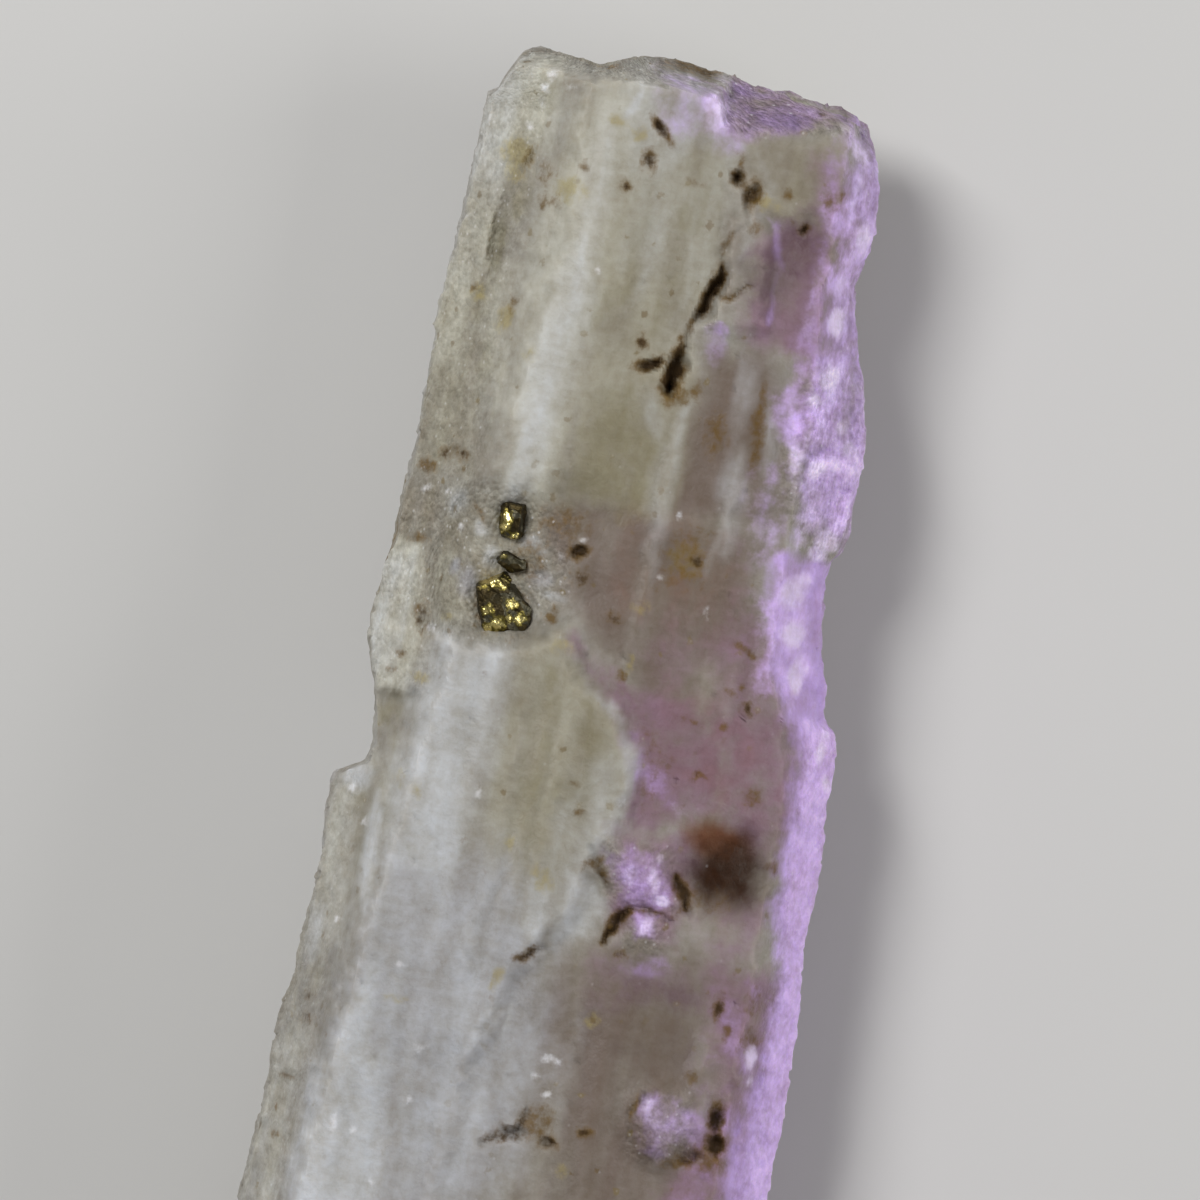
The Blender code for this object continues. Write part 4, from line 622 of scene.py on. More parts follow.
# Spots: strength, centre, half width, half length, and a turn in degrees where there is one.
TINT_SPOTS = {
    "cream": (
        (0.8, 4.4, 1.6, 0.25, 0.45, 10.0), (0.9, 6.4, -8.9, 0.3, 0.9),
    ),
    "olive": (
        (1.0, -4.3, 21.3, 0.4, 0.8, -10.0), (0.8, -4.25, 20.4, 0.25, 0.5), (0.9, -4.85, 16.7, 0.3, 1.0),
        (0.6, -4.6, 13.3, 0.25, 0.6), (0.6, -4.3, 18.2, 0.3, 0.8), (0.4, -0.6, -1.2, 0.7, 1.5),
        (0.6, -5.4, 2.2, 0.5, 0.8, 20.0), (0.5, 0.6, 20.4, 0.3, 0.9), (0.9, -6.15, -0.3, 0.2, 0.45),
        (0.9, 0.0, 1.06, 0.35, 0.4), (0.7, 0.45, 0.3, 0.25, 0.4),
    ),
    "haze": (
        (0.9, -4.5, 7.0, 0.16, 0.25), (0.9, -4.0, 6.7, 0.3, 0.5), (0.7, -1.9, 7.1, 0.3, 0.4),
    ),
    "white": (
        (0.9, -0.38, -3.1, 0.45, 0.5), (0.7, -0.4, -2.2, 0.35, 0.8), (0.8, -6.4, 0.3, 0.5, 0.35),
        (0.8, -2.35, 8.05, 0.3, 0.2), (0.7, -3.45, 7.5, 0.22, 0.3), (0.6, -2.0, 7.8, 0.2, 0.16),
        (0.6, -1.45, 6.55, 0.35, 0.12), (0.6, -3.9, 8.2, 0.2, 0.3, 20.0), (0.5, -4.7, 8.9, 0.3, 0.4),
        (0.8, -6.85, -4.5, 0.25, 0.8),
    ),
    # Painted violet light on small lumps and facets.
    "lilac": (
        (0.36, 2.05, 14.65, 0.4, 0.5), (0.24, 3.0, -3.65, 0.9, 0.4), (0.42, 6.6, -6.5, 0.3, 0.7),
        (0.28, 6.35, -4.4, 0.3, 0.6, 15.0),
    ),
    # Painted sheen of the violet light.
    "frost": (
        (0.42, 2.12, 15.2, 0.3, 0.2), (0.32, 5.8, 15.5, 0.45, 0.9),
    ),
    "ochre": (
        (1.0, -4.7, 19.5, 0.45, 0.35), (0.6, -4.7, 18.9, 0.35, 0.3), (0.9, -3.0, 18.6, 0.3, 0.35),
        (0.9, -1.85, 20.85, 0.28, 0.18), (0.8, -1.1, 20.6, 0.22, 0.2), (0.9, -4.2, 14.5, 0.22, 0.4, -10.0),
        (0.5, -3.3, 13.6, 0.2, 0.3), (0.5, -2.5, 18.6, 0.2, 0.3), (0.6, -5.1, 15.2, 0.3, 0.2),
        (0.7, -4.9, 3.6, 0.25, 0.18), (0.6, -4.5, 5.46, 0.14, 0.14), (0.7, 1.2, 6.7, 0.25, 0.2),
        (0.5, -0.9, 5.1, 0.3, 0.2), (0.7, 2.9, 19.15, 0.4, 0.2), (0.8, -1.48, -0.84, 0.16, 0.25),
        (0.8, -0.3, -1.85, 0.2, 0.3), (0.6, -0.55, -1.6, 0.14, 0.2), (0.7, 1.81, -5.77, 0.25, 0.2),
        (0.6, 1.61, -10.21, 0.2, 0.2), (0.6, 2.3, 8.3, 0.5, 0.5),
    ),
    "rust": (
        (0.7, -2.7, 19.3, 0.15, 0.18), (0.5, -3.7, 19.0, 0.3, 0.4, 20.0), (0.7, -3.65, 17.9, 0.16, 0.12),
        (0.5, -3.5, 18.2, 0.3, 0.2), (0.6, -5.3, 15.3, 0.15, 0.12), (0.6, -4.05, 15.0, 0.12, 0.25),
        (0.9, 2.5, 19.35, 0.3, 0.45), (0.6, 2.72, 18.4, 0.15, 0.25), (0.7, 3.5, 19.55, 0.16, 0.16),
        (0.6, 4.8, 19.5, 0.2, 0.3), (0.6, 5.05, 19.75, 0.14, 0.16), (0.8, 4.1, 18.67, 0.18, 0.18),
        (0.5, 0.64, 19.4, 0.25, 0.12), (0.7, 0.2, 22.95, 0.9, 0.25), (0.6, -2.45, 22.5, 0.3, 0.15),
        (0.8, 1.1, 13.1, 0.6, 0.35), (0.6, 1.74, 13.38, 0.2, 0.2), (0.7, -0.1, 14.55, 0.22, 0.25),
        (0.6, 2.55, 12.2, 0.3, 0.7), (0.5, -1.4, 8.8, 0.8, 0.5), (0.8, -5.7, 9.8, 0.3, 0.22),
        (0.8, -5.75, 7.62, 0.3, 0.18), (0.7, -5.2, 10.4, 0.25, 0.15), (0.7, -5.67, 4.17, 0.14, 0.14),
        (0.7, -5.79, 3.64, 0.14, 0.12), (0.7, -5.45, 5.43, 0.14, 0.3), (0.4, -3.03, 3.88, 0.2, 0.12),
        (0.6, 0.05, 1.15, 0.14, 0.1), (0.6, 0.45, 0.3, 0.16, 0.12), (0.9, -1.46, 5.94, 0.2, 0.18),
        (0.8, -1.36, 6.15, 0.12, 0.16), (0.5, -2.3, 7.6, 0.5, 0.7), (0.9, 0.93, 4.55, 0.14, 0.2, 20.0),
        (0.8, 4.84, 4.26, 0.16, 0.18), (0.6, 4.23, 4.64, 0.2, 0.12), (0.6, 4.53, 4.85, 0.14, 0.12),
        (0.7, 4.32, 3.48, 0.16, 0.12), (0.45, 4.7, -1.45, 0.8, 0.5), (0.6, 5.4, 1.6, 0.3, 0.3),
        (0.6, 6.35, -0.3, 0.2, 0.2), (0.8, 5.43, -4.71, 0.15, 0.3), (0.8, 5.78, -5.32, 0.16, 0.2),
        (0.5, 6.4, -4.4, 0.25, 0.5), (0.6, 6.5, -5.6, 0.3, 0.4), (0.7, 5.01, -6.91, 0.18, 0.16),
        (0.7, 0.6, -9.0, 0.6, 0.5), (0.9, 2.18, -9.08, 0.24, 0.14), (0.7, -7.1, -9.9, 0.08, 0.12),
        (0.7, -7.0, -10.6, 0.12, 0.08), (0.7, 5.9, -9.2, 0.5, 0.4), (0.8, 5.1, -9.5, 0.5, 0.2, 10.0),
        (0.6, 3.5, -8.05, 0.14, 0.4), (0.45, -2.9, 6.05, 0.85, 1.0, 22.0), (0.4, -2.98, 8.6, 0.4, 0.6),
    ),
    "sienna": (
        (1.0, 4.6, 0.2, 0.95, 0.6, -20.0),
    ),
    "umber": (
        (0.3, 2.6, 21.9, 1.5, 0.5, -15.0),
    ),
    "dark": (
        (0.9, -0.55, 20.84, 0.3, 0.1, -45.0), (0.8, -0.77, 19.82, 0.09, 0.17),
        (0.8, -1.31, 18.96, 0.15, 0.11), (0.5, -4.35, 19.35, 0.09, 0.24, -20.0),
        (0.85, 1.97, 19.8, 0.15, 0.2, 20.0), (0.7, 2.42, 19.4, 0.13, 0.3),
        (0.9, 0.3, 13.88, 0.38, 0.16, 20.0), (0.6, -0.08, 14.55, 0.16, 0.18), (0.6, 0.6, 14.1, 0.2, 0.14),
        (0.7, 4.1, 18.65, 0.12, 0.12), (0.9, -0.85, 8.02, 0.25, 0.14, 35.0), (0.4, -0.7, 7.3, 0.25, 0.2),
        (0.8, 2.6, 8.33, 0.18, 0.15), (0.6, -5.3, 10.3, 0.15, 0.15), (0.6, -4.8, 10.3, 0.15, 0.16),
        (0.5, -5.25, 5.25, 0.18, 0.36), (0.7, 4.84, 4.26, 0.12, 0.13), (0.5, 2.25, -3.66, 0.13, 0.1),
        (0.5, -6.58, -7.08, 0.13, 0.09), (0.35, -6.64, -6.4, 0.12, 0.09), (0.8, 5.43, -4.75, 0.1, 0.22),
        (0.9, 5.9, -8.0, 0.2, 0.42), (1.0, 6.05, -8.72, 0.3, 0.27), (0.52, -0.03, -9.33, 0.3, 0.2),
        # The last spot on the next line is a painted shadow along the left side of the lower grain.
        (0.7, 1.05, -9.54, 0.22, 0.14), (0.8, 2.18, -9.08, 0.14, 0.1), (0.5, -3.5, 6.1, 0.2, 0.55),
    ),
    # Painted highlights of the violet light on the flank, the lumps and the upper end.
    "gleam": (
        (0.5, 0.9, 21.5, 0.35, 0.5), (0.9, 5.65, 16.1, 0.25, 0.4), (0.8, 5.6, 14.4, 0.25, 0.35),
        (1.0, 5.31, 13.65, 0.22, 0.22), (0.6, 5.05, 11.75, 0.3, 0.3), (1.0, 5.71, 11.61, 0.18, 0.18),
        (0.9, 6.3, 13.0, 0.25, 0.3), (0.8, 6.6, 12.3, 0.2, 0.3), (0.7, 5.85, 18.7, 0.25, 0.5),
        (0.6, 5.4, 21.2, 0.3, 0.3), (1.0, 6.36, 9.6, 0.32, 0.34, 30.0), (1.0, 6.15, 9.1, 0.28, 0.18),
        (0.9, 5.6, 7.9, 0.35, 0.6), (0.9, 5.85, 6.6, 0.35, 0.4), (0.8, 6.15, 5.3, 0.2, 0.6),
        (0.9, 7.23, 3.3, 0.16, 0.5), (0.9, 7.53, 2.4, 0.14, 0.2), (0.7, 6.62, -6.1, 0.14, 0.3),
        (0.7, 6.75, -6.75, 0.14, 0.25), (0.2, 4.0, -8.1, 0.2, 0.5, 8.0), (0.9, 3.01, -0.58, 0.13, 0.16),
        (0.5, 2.92, -1.25, 0.12, 0.5, 12.0), (0.95, 3.28, -1.81, 0.15, 0.12),
        (0.25, 2.15, -1.25, 0.25, 0.4, -20.0), (0.62, 2.88, -2.75, 0.18, 0.4, -20.0),
        (0.4, 3.43, 0.9, 0.3, 0.22, -30.0),
    ),
    # Painted highlights: small white glints.
    "glint": (
        (0.63, 1.89, 9.57, 0.11, 0.11), (0.42, 3.13, 6.86, 0.11, 0.1), (0.56, -6.39, -0.05, 0.15, 0.11),
        (0.56, -5.84, -0.97, 0.11, 0.15), (0.7, -6.22, -3.98, 0.1, 0.1), (0.42, -4.17, -4.94, 0.1, 0.1),
        (0.35, -3.15, -7.21, 0.19, 0.15), (0.7, 0.77, -7.04, 0.2, 0.1), (0.49, 0.38, -7.59, 0.11, 0.1),
        (0.63, -5.28, -9.97, 0.11, 0.26), (0.49, -3.18, -8.85, 0.12, 0.1), (0.49, -4.69, -10.05, 0.1, 0.1),
        (0.56, -3.94, -11.44, 0.11, 0.1), (0.7, 0.83, -8.12, 0.12, 0.11), (0.49, -2.62, 0.49, 0.1, 0.18),
        (0.56, 1.62, 0.83, 0.1, 0.1), (0.7, -1.78, 16.38, 0.1, 0.1), (0.7, -5.7, 9.13, 0.17, 0.1),
        (0.56, -5.02, 9.21, 0.1, 0.1), (0.7, -4.54, 8.16, 0.12, 0.12), (0.49, 1.62, 7.73, 0.11, 0.11),
        (0.49, -1.37, 7.78, 0.11, 0.1), (0.56, -0.8, 8.4, 0.17, 0.11), (0.63, -4.9, 5.06, 0.12, 0.12),
        (0.7, -3.96, 21.95, 0.17, 0.12, 40.0), (0.63, -4.15, 21.6, 0.11, 0.19),
        (0.63, -4.38, 20.27, 0.15, 0.1), (0.49, -4.26, 21.05, 0.1, 0.11), (0.49, -5.7, 20.35, 0.1, 0.12),
        (0.42, -5.81, 17.38, 0.1, 0.12), (0.42, -3.39, 21.65, 0.11, 0.1),
    ),
}
# All tints that the surface stores.
TINTS = (
    "tan", "cream", "mauve", "olive", "haze", "bone", "white", "lilac", "frost", "ochre", "rust", "sienna",
    "umber", "dark", "gleam", "glint",
)
# The soft edge of a band or spot: the share of its width or least radius, and what is added to that.
BAND_SOFTNESS = 0.8
SPOT_SOFTNESS = 1.2
LEAST_SOFTNESS = 0.06
# How much thinner a band is at its ends.
BAND_TAPER = 0.7
# Iron stain round a dark place: how strong it is beside the dark, and how much further it reaches.
STAIN_SHARE = 0.85
STAIN_REACH = 0.2

# Tints of the walls and the back. The violet part, where the violet light from the right is painted, begins
# this far right of the middle and is whole at twice that, and its painted violet light fades out below this
# height. Then the most that each tint reaches there; the violet light's is its least and what the clouds
# add.
VIOLET_START = 3.0
VIOLET_FADE = 3.0
WALL_VIOLET_LIGHT = (0.45, 0.4)
WALL_MAUVE = 0.5
WALL_WHITE = 0.7
WALL_CREAM = 0.7
WALL_TAN = 0.5
WALL_RUST = 0.6
# Rust grows this fast with the height of its clouds, less this much, so that it shows on the highest alone.
WALL_RUST_GROWTH = 4.0
WALL_RUST_LOSS = 2.9

# Where the tints of the front give way to those of the walls: how far below the front, and over what depth.
UNDER_START = 0.15
UNDER_RUN = 0.5
UNDER_ROUGHNESS = 0.5
# How much each tint keeps scattered stains away, how stained a place without those is, and what roughness
# adds to that.
CLEAN_TINTS = {"white": 0.8, "bone": 0.6, "lilac": 1.4, "haze": 0.7, "umber": 2.0, "sienna": 2.0}
STAINED = 0.9
STAINED_WHERE_ROUGH = 0.4
# How far round a place the heights are compared to tell how hollow it is, for the painted shade of hollows.
HOLLOW_REACH = 0.3
# How many streaks run side by side across the crystal, and how long they are.
STREAKS_ACROSS = 15.0
STREAK_LENGTH = 4.0


def linear(red, green, blue):
    """Scene-linear colour of a display colour given as 0 to 255."""
    shares = [value / 255 for value in (red, green, blue)]
    return tuple(s / 12.92 if s <= 0.04045 else ((s + 0.055) / 1.055) ** 2.4 for s in shares)


def colour(name, description, display):
    """A colour setting with this display colour as its default."""
    return FloatVectorProperty(name=name, description=description, default=linear(*display), size=3,
                               min=0.0, max=1.0, subtype="COLOR")


class CrystalLook(bpy.types.PropertyGroup):
    """Finish of the danburite."""

    ground: colour("Ground", "Grey-cream body between the tints", (152, 148, 140))
    fibre: colour("Fibre", "Paler clouds in the body", (166, 163, 153))
    white: colour("White", "Milky bands and the overlying layer", (194, 196, 198))
    bone: colour("Bone", "Warm white of the upper end and the left edge", (194, 192, 178))
    cream: colour("Cream", "Warm clouded stretches", (156, 151, 133))
    olive: colour("Olive", "Translucent greenish lenses and streaks", (130, 122, 92))
    haze: colour("Haze", "Cool grey milkiness low down", (160, 159, 162))
    tan: colour("Tan", "Brownish clear stretches", (121, 108, 99))
    mauve: colour("Mauve", "Pink-brown stretches towards the right", (138, 111, 125))
    # The next colour paints the violet light from the right as a lilac tint.
    lilac: colour("Violet Light", "Violet flank and lumps", (197, 168, 226))
    # The next colour paints the paler sheen of that violet light.
    frost: colour("Violet Sheen", "Pale streaks on the violet flank", (226, 196, 255))
    # The next colour paints the highlights of that violet light.
    gleam: colour("Violet Highlight", "Palest violet faces", (236, 220, 252))
    # The next colour is a painted highlight: white spots where small faces catch the light.
    glint: colour("Glint", "Small white faces that catch the light", (236, 236, 240))
    ochre: colour("Ochre", "Yellow iron stains", (160, 146, 92))
    rust: colour("Rust", "Brown iron stains", (104, 78, 26))
    sienna: colour("Sienna", "Reddish rim of the dark hollow", (118, 72, 44))
    umber: colour("Umber", "Dark hollow beside the lump", (50, 26, 8))
    # The next colour is laid on as a dark brown at the bottom of pits and cracks.
    dark: colour("Dark", "Dirt at the bottom of pits and cracks", (54, 36, 13))
    murk: colour("Murk", "What the body darkens to where it is clearer", (226, 220, 209))
    striation: FloatProperty(name="Striation", description="Depth of the fine lengthwise grooves",
                             default=0.012 * MM, unit="LENGTH", precision=5)
    terrace: FloatProperty(name="Terrace", description="Height of the low lengthwise steps",
                           default=0.01 * MM, unit="LENGTH", precision=5)
    facet: FloatProperty(name="Facet", description="Height of the small faces where the surface is broken",
                         default=0.08 * MM, unit="LENGTH", precision=5)
    milkiness: FloatProperty(name="Milkiness", description="Share of light scattered inside the crystal",
                             default=0.5, min=0.0, max=1.0, subtype="FACTOR")


class PyriteLook(bpy.types.PropertyGroup):
    """Finish of the pyrite grains."""

    # The next two colours are the grains' brassy metal, painted bright at its glints as a painted highlight.
    metal: colour("Metal", "Fresh brassy metal", (226, 210, 140))
    brass: colour("Brass", "Dulled metal round the fresh faces", (134, 122, 60))
    tarnish: colour("Tarnish", "Dark tarnish", (66, 58, 40))
    bloom: colour("Bloom", "Grey bloom on flat faces", (86, 83, 70))
    facet: FloatProperty(name="Facet", description="Height of the small crystal faces",
                         default=0.05 * MM, unit="LENGTH", precision=5)


class StudioLook(bpy.types.PropertyGroup):
    """Floor, lights and camera."""

    floor: colour("Floor", "Pale floor", (206, 205, 203))
    key: FloatProperty(name="Key Light", description="Power of the main light", default=0.62, min=0.0,
                       unit="POWER")
    fill: FloatProperty(name="Fill Light", description="Power of the light opposite it", default=0.42,
                        min=0.0, unit="POWER")
    sky: FloatProperty(name="Surroundings", description="Brightness of the surroundings", default=0.22,
                       min=0.0)
    field: FloatProperty(name="Field", description="Width of the stretch that the camera sees",
                         default=36 * MM, unit="LENGTH")
    turn: FloatProperty(name="Camera Turn", description="Turn of the camera about its own axis",
                        default=math.radians(9.5), unit="ROTATION")


def rolled_out(x, y, z):
    """The surface rolled out flat, in millimetres: how far round it from the crest, and how far along it."""
    crest_x, drop = value_at(CREST, y), value_at(CREST_HEIGHT, y) - z
    side = np.clip((x - crest_x) / ROLL_OUT, -1, 1)
    edge = np.where(x > crest_x, value_at(RIGHT_REFERENCE, y), value_at(LEFT_REFERENCE, y))
    across = np.where(z < WALL_FOOT, 2 * edge - x, x) + ROLL_SHARE * side * drop
    ends = np.clip((y - ROLLED_ENDS[1]) / ROLL_OUT, 0, 1) - np.clip((ROLLED_ENDS[0] - y) / ROLL_OUT, 0, 1)
    fall = np.maximum(drop - RIGHT_FACE_SLOPE * np.maximum(x - crest_x, 0), 0)
    return across, y + ROLL_SHARE * ends * fall


def value_at(points, places):
    """Value at each place along a line given as (place, value) points."""
    known, values = zip(*points)
    return np.interp(places, known, values)


def ramp(distance, width):
    """Goes from 0 to 1 across a riser of this width, centred on distance 0."""
    return np.clip(distance / width + 0.5, 0.0, 1.0)


def smooth(share):
    """Eases a share between 0 and 1."""
    share = np.clip(share, 0.0, 1.0)
    return share * share * (3 - 2 * share)


def segment_distance(x, y, start, end):
    """Plan distance from each point to a straight segment."""
    run = (end[0] - start[0], end[1] - start[1])
    share = ((x - start[0]) * run[0] + (y - start[1]) * run[1]) / (run[0] ** 2 + run[1] ** 2)
    share = np.clip(share, 0.0, 1.0)
    return np.hypot(x - start[0] - share * run[0], y - start[1] - share * run[1])


def path_distance(x, y, path):
    """Plan distance from each point to an open path."""
    return np.minimum.reduce([segment_distance(x, y, a, b) for a, b in zip(path, path[1:])])


def path_share(x, y, path):
    """Share of the length of a path at which it comes nearest to each point."""
    runs = np.cumsum([0.0] + [math.dist(a, b) for a, b in zip(path, path[1:])])
    distances = [segment_distance(x, y, a, b) for a, b in zip(path, path[1:])]
    nearest = np.argmin(distances, axis=0)
    starts = np.array(path[:-1])[nearest]
    along = np.hypot(x - starts[..., 0], y - starts[..., 1])
    return np.clip((runs[nearest] + np.minimum(along, runs[nearest + 1] - runs[nearest])) / runs[-1], 0, 1)


def depth_inside(x, y, outline):
    """Plan distance from each point to a closed outline, positive inside it."""
    inside = np.zeros(x.shape, bool)
    closed = outline + outline[:1]
    for (ax, ay), (bx, by) in zip(closed, closed[1:]):
        spans = (ay > y) != (by > y)
        inside ^= spans & (x < ax + (y - ay) * (bx - ax) / ((by - ay) or 1.0))
    distance = path_distance(x, y, closed)
    return np.where(inside, distance, -distance)


def inside_ellipse(x, y, centre, radii, turn=0.0):
    """Squared share of the way from an ellipse's centre to its edge."""
    angle = math.radians(turn)
    side = ((x - centre[0]) * math.cos(angle) + (y - centre[1]) * math.sin(angle)) / radii[0]
    along = ((y - centre[1]) * math.cos(angle) - (x - centre[0]) * math.sin(angle)) / radii[1]
    return side * side + along * along


def swell(name, x, y, shift=0.0):
    """The irregular swell of this name at each point, between -1 and 1, with its pattern shifted across."""
    width, length, seed = SWELLS[name]
    x, y = x / width + shift, y / length
    table = np.random.default_rng(seed).uniform(-1.0, 1.0, (RANDOM_CELLS, RANDOM_CELLS))
    column, row = np.floor(x).astype(int), np.floor(y).astype(int)
    across, along = x - column, y - row
    across, along = across * across * (3 - 2 * across), along * along * (3 - 2 * along)

    def corner(i, j):
        return table[(column + i) % RANDOM_CELLS, (row + j) % RANDOM_CELLS]

    near = corner(0, 0) * (1 - across) + corner(1, 0) * across
    far = corner(0, 1) * (1 - across) + corner(1, 1) * across
    return near * (1 - along) + far * along


def cloud(name, x, y, shift=0.0):
    """The swell of this name, brought to between 0 and 1."""
    return 0.5 + 0.5 * swell(name, x, y, shift)


def cells(name, x, y):
    """For each point, the offset to the middle of its own irregular cell, and four random values of it."""
    size, seed = CELLS[name]
    x, y = x / size, y / size
    table = np.random.default_rng(seed).uniform(0.0, 1.0, (CELL_VALUES, RANDOM_CELLS, RANDOM_CELLS))
    column, row = np.floor(x).astype(int), np.floor(y).astype(int)
    nearest = np.full(x.shape, np.inf)
    found = np.zeros((CELL_VALUES, *x.shape))
    for i in (-1, 0, 1):
        for j in (-1, 0, 1):
            values = table[:, (column + i) % RANDOM_CELLS, (row + j) % RANDOM_CELLS]
            side, along = x - column - i - values[0], y - row - j - values[1]
            distance = side * side + along * along
            closer = distance < nearest
            nearest = np.where(closer, distance, nearest)
            found = np.where(closer, np.stack((side, along, *values[2:])), found)
    return found


def facets(name, x, y):
    """Small tilted faces, as on broken crystal, between about -1 and 1."""
    side, along, tilt, lean, level, _ = cells(name, x, y)
    return (2 * tilt - 1) * side + (2 * lean - 1) * along + FACET_STEP * (level - 0.5)


def plan(across, along):
    """Plan position of a point that lies 0 to 1 across the crystal and 0 to 1 along it."""
    left_y = LEFT_SIDE[0][0] + (LEFT_SIDE[-1][0] - LEFT_SIDE[0][0]) * along
    right_y = RIGHT_SIDE[0][0] + (RIGHT_SIDE[-1][0] - RIGHT_SIDE[0][0]) * along
    left_x, right_x = value_at(LEFT_SIDE, left_y), value_at(RIGHT_SIDE, right_y)
    x = left_x + (right_x - left_x) * across
    y = left_y + (right_y - left_y) * across
    upper = value_at(UPPER_END, x) - (LEFT_SIDE[-1][0] + (RIGHT_SIDE[-1][0] - LEFT_SIDE[-1][0]) * across)
    lower = value_at(LOWER_END, x) - (LEFT_SIDE[0][0] + (RIGHT_SIDE[0][0] - LEFT_SIDE[0][0]) * across)
    near_upper = np.clip(1 - (1 - along) / END_REACH, 0, 1)
    near_lower = np.clip(1 - along / END_REACH, 0, 1)
    return x, y + near_upper * upper + near_lower * lower


def share_across(x, y):
    """How far across the tapering crystal a point lies, from 0 to 1."""
    left, right = value_at(LEFT_REFERENCE, y), value_at(RIGHT_REFERENCE, y)
    return (x - left) / (right - left)


def prism_front(x, y):
    """Height of the crest, the left face, the broad right face, the right flank and the broken ends."""
    crest_x, crest = value_at(CREST, y), value_at(CREST_HEIGHT, y)
    wall_top, left_x = value_at(LEFT_WALL_TOP, y), value_at(LEFT_REFERENCE, y)
    left_run = crest_x - CREST_HALF_WIDTH - left_x
    left_face = wall_top + (crest - wall_top) * (x - left_x) / left_run
    right_face = crest - RIGHT_FACE_SLOPE * (x - crest_x - CREST_HALF_WIDTH)
    flank_x, side_x = value_at(FLANK_EDGE, y), value_at(RIGHT_SIDE, y)
    flank_top = crest - RIGHT_FACE_SLOPE * (flank_x - crest_x - CREST_HALF_WIDTH)
    flank = RIGHT_WALL_TOP + (flank_top - RIGHT_WALL_TOP) * (side_x - x) / (side_x - flank_x)
    height = np.minimum.reduce([crest, left_face, right_face, flank])
    for start, fall in UPPER_FACES:
        height = np.minimum(height, right_face - fall * (y - value_at(start, x)))
    for (look_x, look_y), start, fall in LOWER_FACES:
        height = np.minimum(height, right_face - fall * (x * look_x + y * look_y - start))
    return height


def saddle(x, y):
    """Share of the saddle's depth that each point lies at."""
    upper = smooth(ramp(value_at(SADDLE_UPPER_END, x) - y, SADDLE_UPPER_RISER))
    lower = smooth(ramp(y - value_at(SADDLE_LOWER_END, x), SADDLE_LOWER_RISER))
    return upper * lower * value_at(SADDLE_SHARE, x)


def rib(x, y, line, width, rise):
    """A rib or groove along the crystal that tapers out at both ends."""
    ends = np.clip(np.minimum(y - line[0][0], line[-1][0] - y) / RIB_TAPER, 0, 1)
    return rise * ends * smooth(1 - RIB_FALL * np.abs(x - value_at(line, y)) / width)


def relief(x, y):
    """Everything that stands up from the prism's faces or is sunk in them."""
    height = LAYER_HEIGHT * smooth(ramp(depth_inside(x, y, LAYER), LAYER_RISER)) * value_at(LAYER_FADE, y)
    height -= SADDLE_DEPTH * saddle(x, y)
    height -= FLUTE_DEPTH * np.abs(swell("flutes", share_across(x, y) * FLUTES_ACROSS, y))
    for outline, rise, riser in FIELDS.values():
        height += rise * smooth(ramp(depth_inside(x, y, outline), riser * RISER_SPREAD))
    for line, width, rise in RIBS:
        height += RIB_SHARE * rib(x, y, line, width, rise)
    for path, width, depth in CRACKS:
        height -= CRACK_SHARE * depth * smooth(1 - CRACK_FALL * path_distance(x, y, path) / width)
    for centre, radii, turn, depth in PITS + BEDS:
        hollow = np.clip(PIT_FLOOR - PIT_FALL * inside_ellipse(x, y, centre, radii, turn), 0, 1) ** 2
        height -= PIT_SHARE * depth * hollow
    flank = ramp(depth_inside(x, y, ROUGH_FLANK), ROUGH_FLANK_RISER)
    height += ROUGH_FLANK_HEIGHT * np.abs(swell("rough flank", x, y * ROUGH_FLANK_SQUEEZE)) * flank
    return height + SWELL_HEIGHT * swell("front", x, y)


def roughness(x, y):
    """How broken or sugary the front is at each point."""
    share = np.zeros(x.shape)
    for outline, softness, strength in ROUGH_FIELDS:
        share = np.maximum(share, strength * smooth(ramp(depth_inside(x, y, outline), softness)))
    return share


def terraces(x, y):
    """Low steps that run along the crystal, counted up from the lowest."""
    level = TERRACES * swell("terraces", x, y) + swell("terrace edges", x, y)
    step = np.floor(level)
    return step + np.clip(TERRACE_RISER * (level - step) - (TERRACE_RISER - 1), 0, 1)


def fine_relief(x, y, look):
    """Striations, low steps, small broken faces and specks of pits."""
    grooves = np.abs(swell("striations", x, y))
    height = (look.terrace * terraces(x, y) - look.striation * grooves) / MM
    rough = roughness(x, y)
    broken = facets("broken faces", x, y) + GRIT_SHARE * facets("grit", x, y)
    height += rough * broken * look.facet / MM
    side, along, size, depth, kept, _ = cells("speck pits", x, y)
    reach = SPECK_PIT_REACH[0] + SPECK_PIT_REACH[1] * size
    speck = np.clip(1 - (side * side + along * along) / reach, 0, 1)
    return height - SPECK_PIT_DEPTH * speck * depth * (kept > SPECK_PIT_FROM)


def ragged(x, y):
    """The plan position with its edges made uneven at two sizes."""
    shift_x = RAGGED_EDGE * (swell("ragged x", x, y) + RAGGED_FINE * swell("finely ragged x", x, y))
    shift_y = RAGGED_EDGE * (swell("ragged y", x, y) + RAGGED_FINE * swell("finely ragged y", x, y))
    return x + shift_x, y + shift_y


def front_height(x, y, look):
    """Height of the side that faces up."""
    uneven_x, uneven_y = ragged(x, y)
    height = prism_front(uneven_x, uneven_y) + relief(uneven_x, uneven_y) + fine_relief(x, y, look)
    return np.maximum(height, LEAST_FRONT)


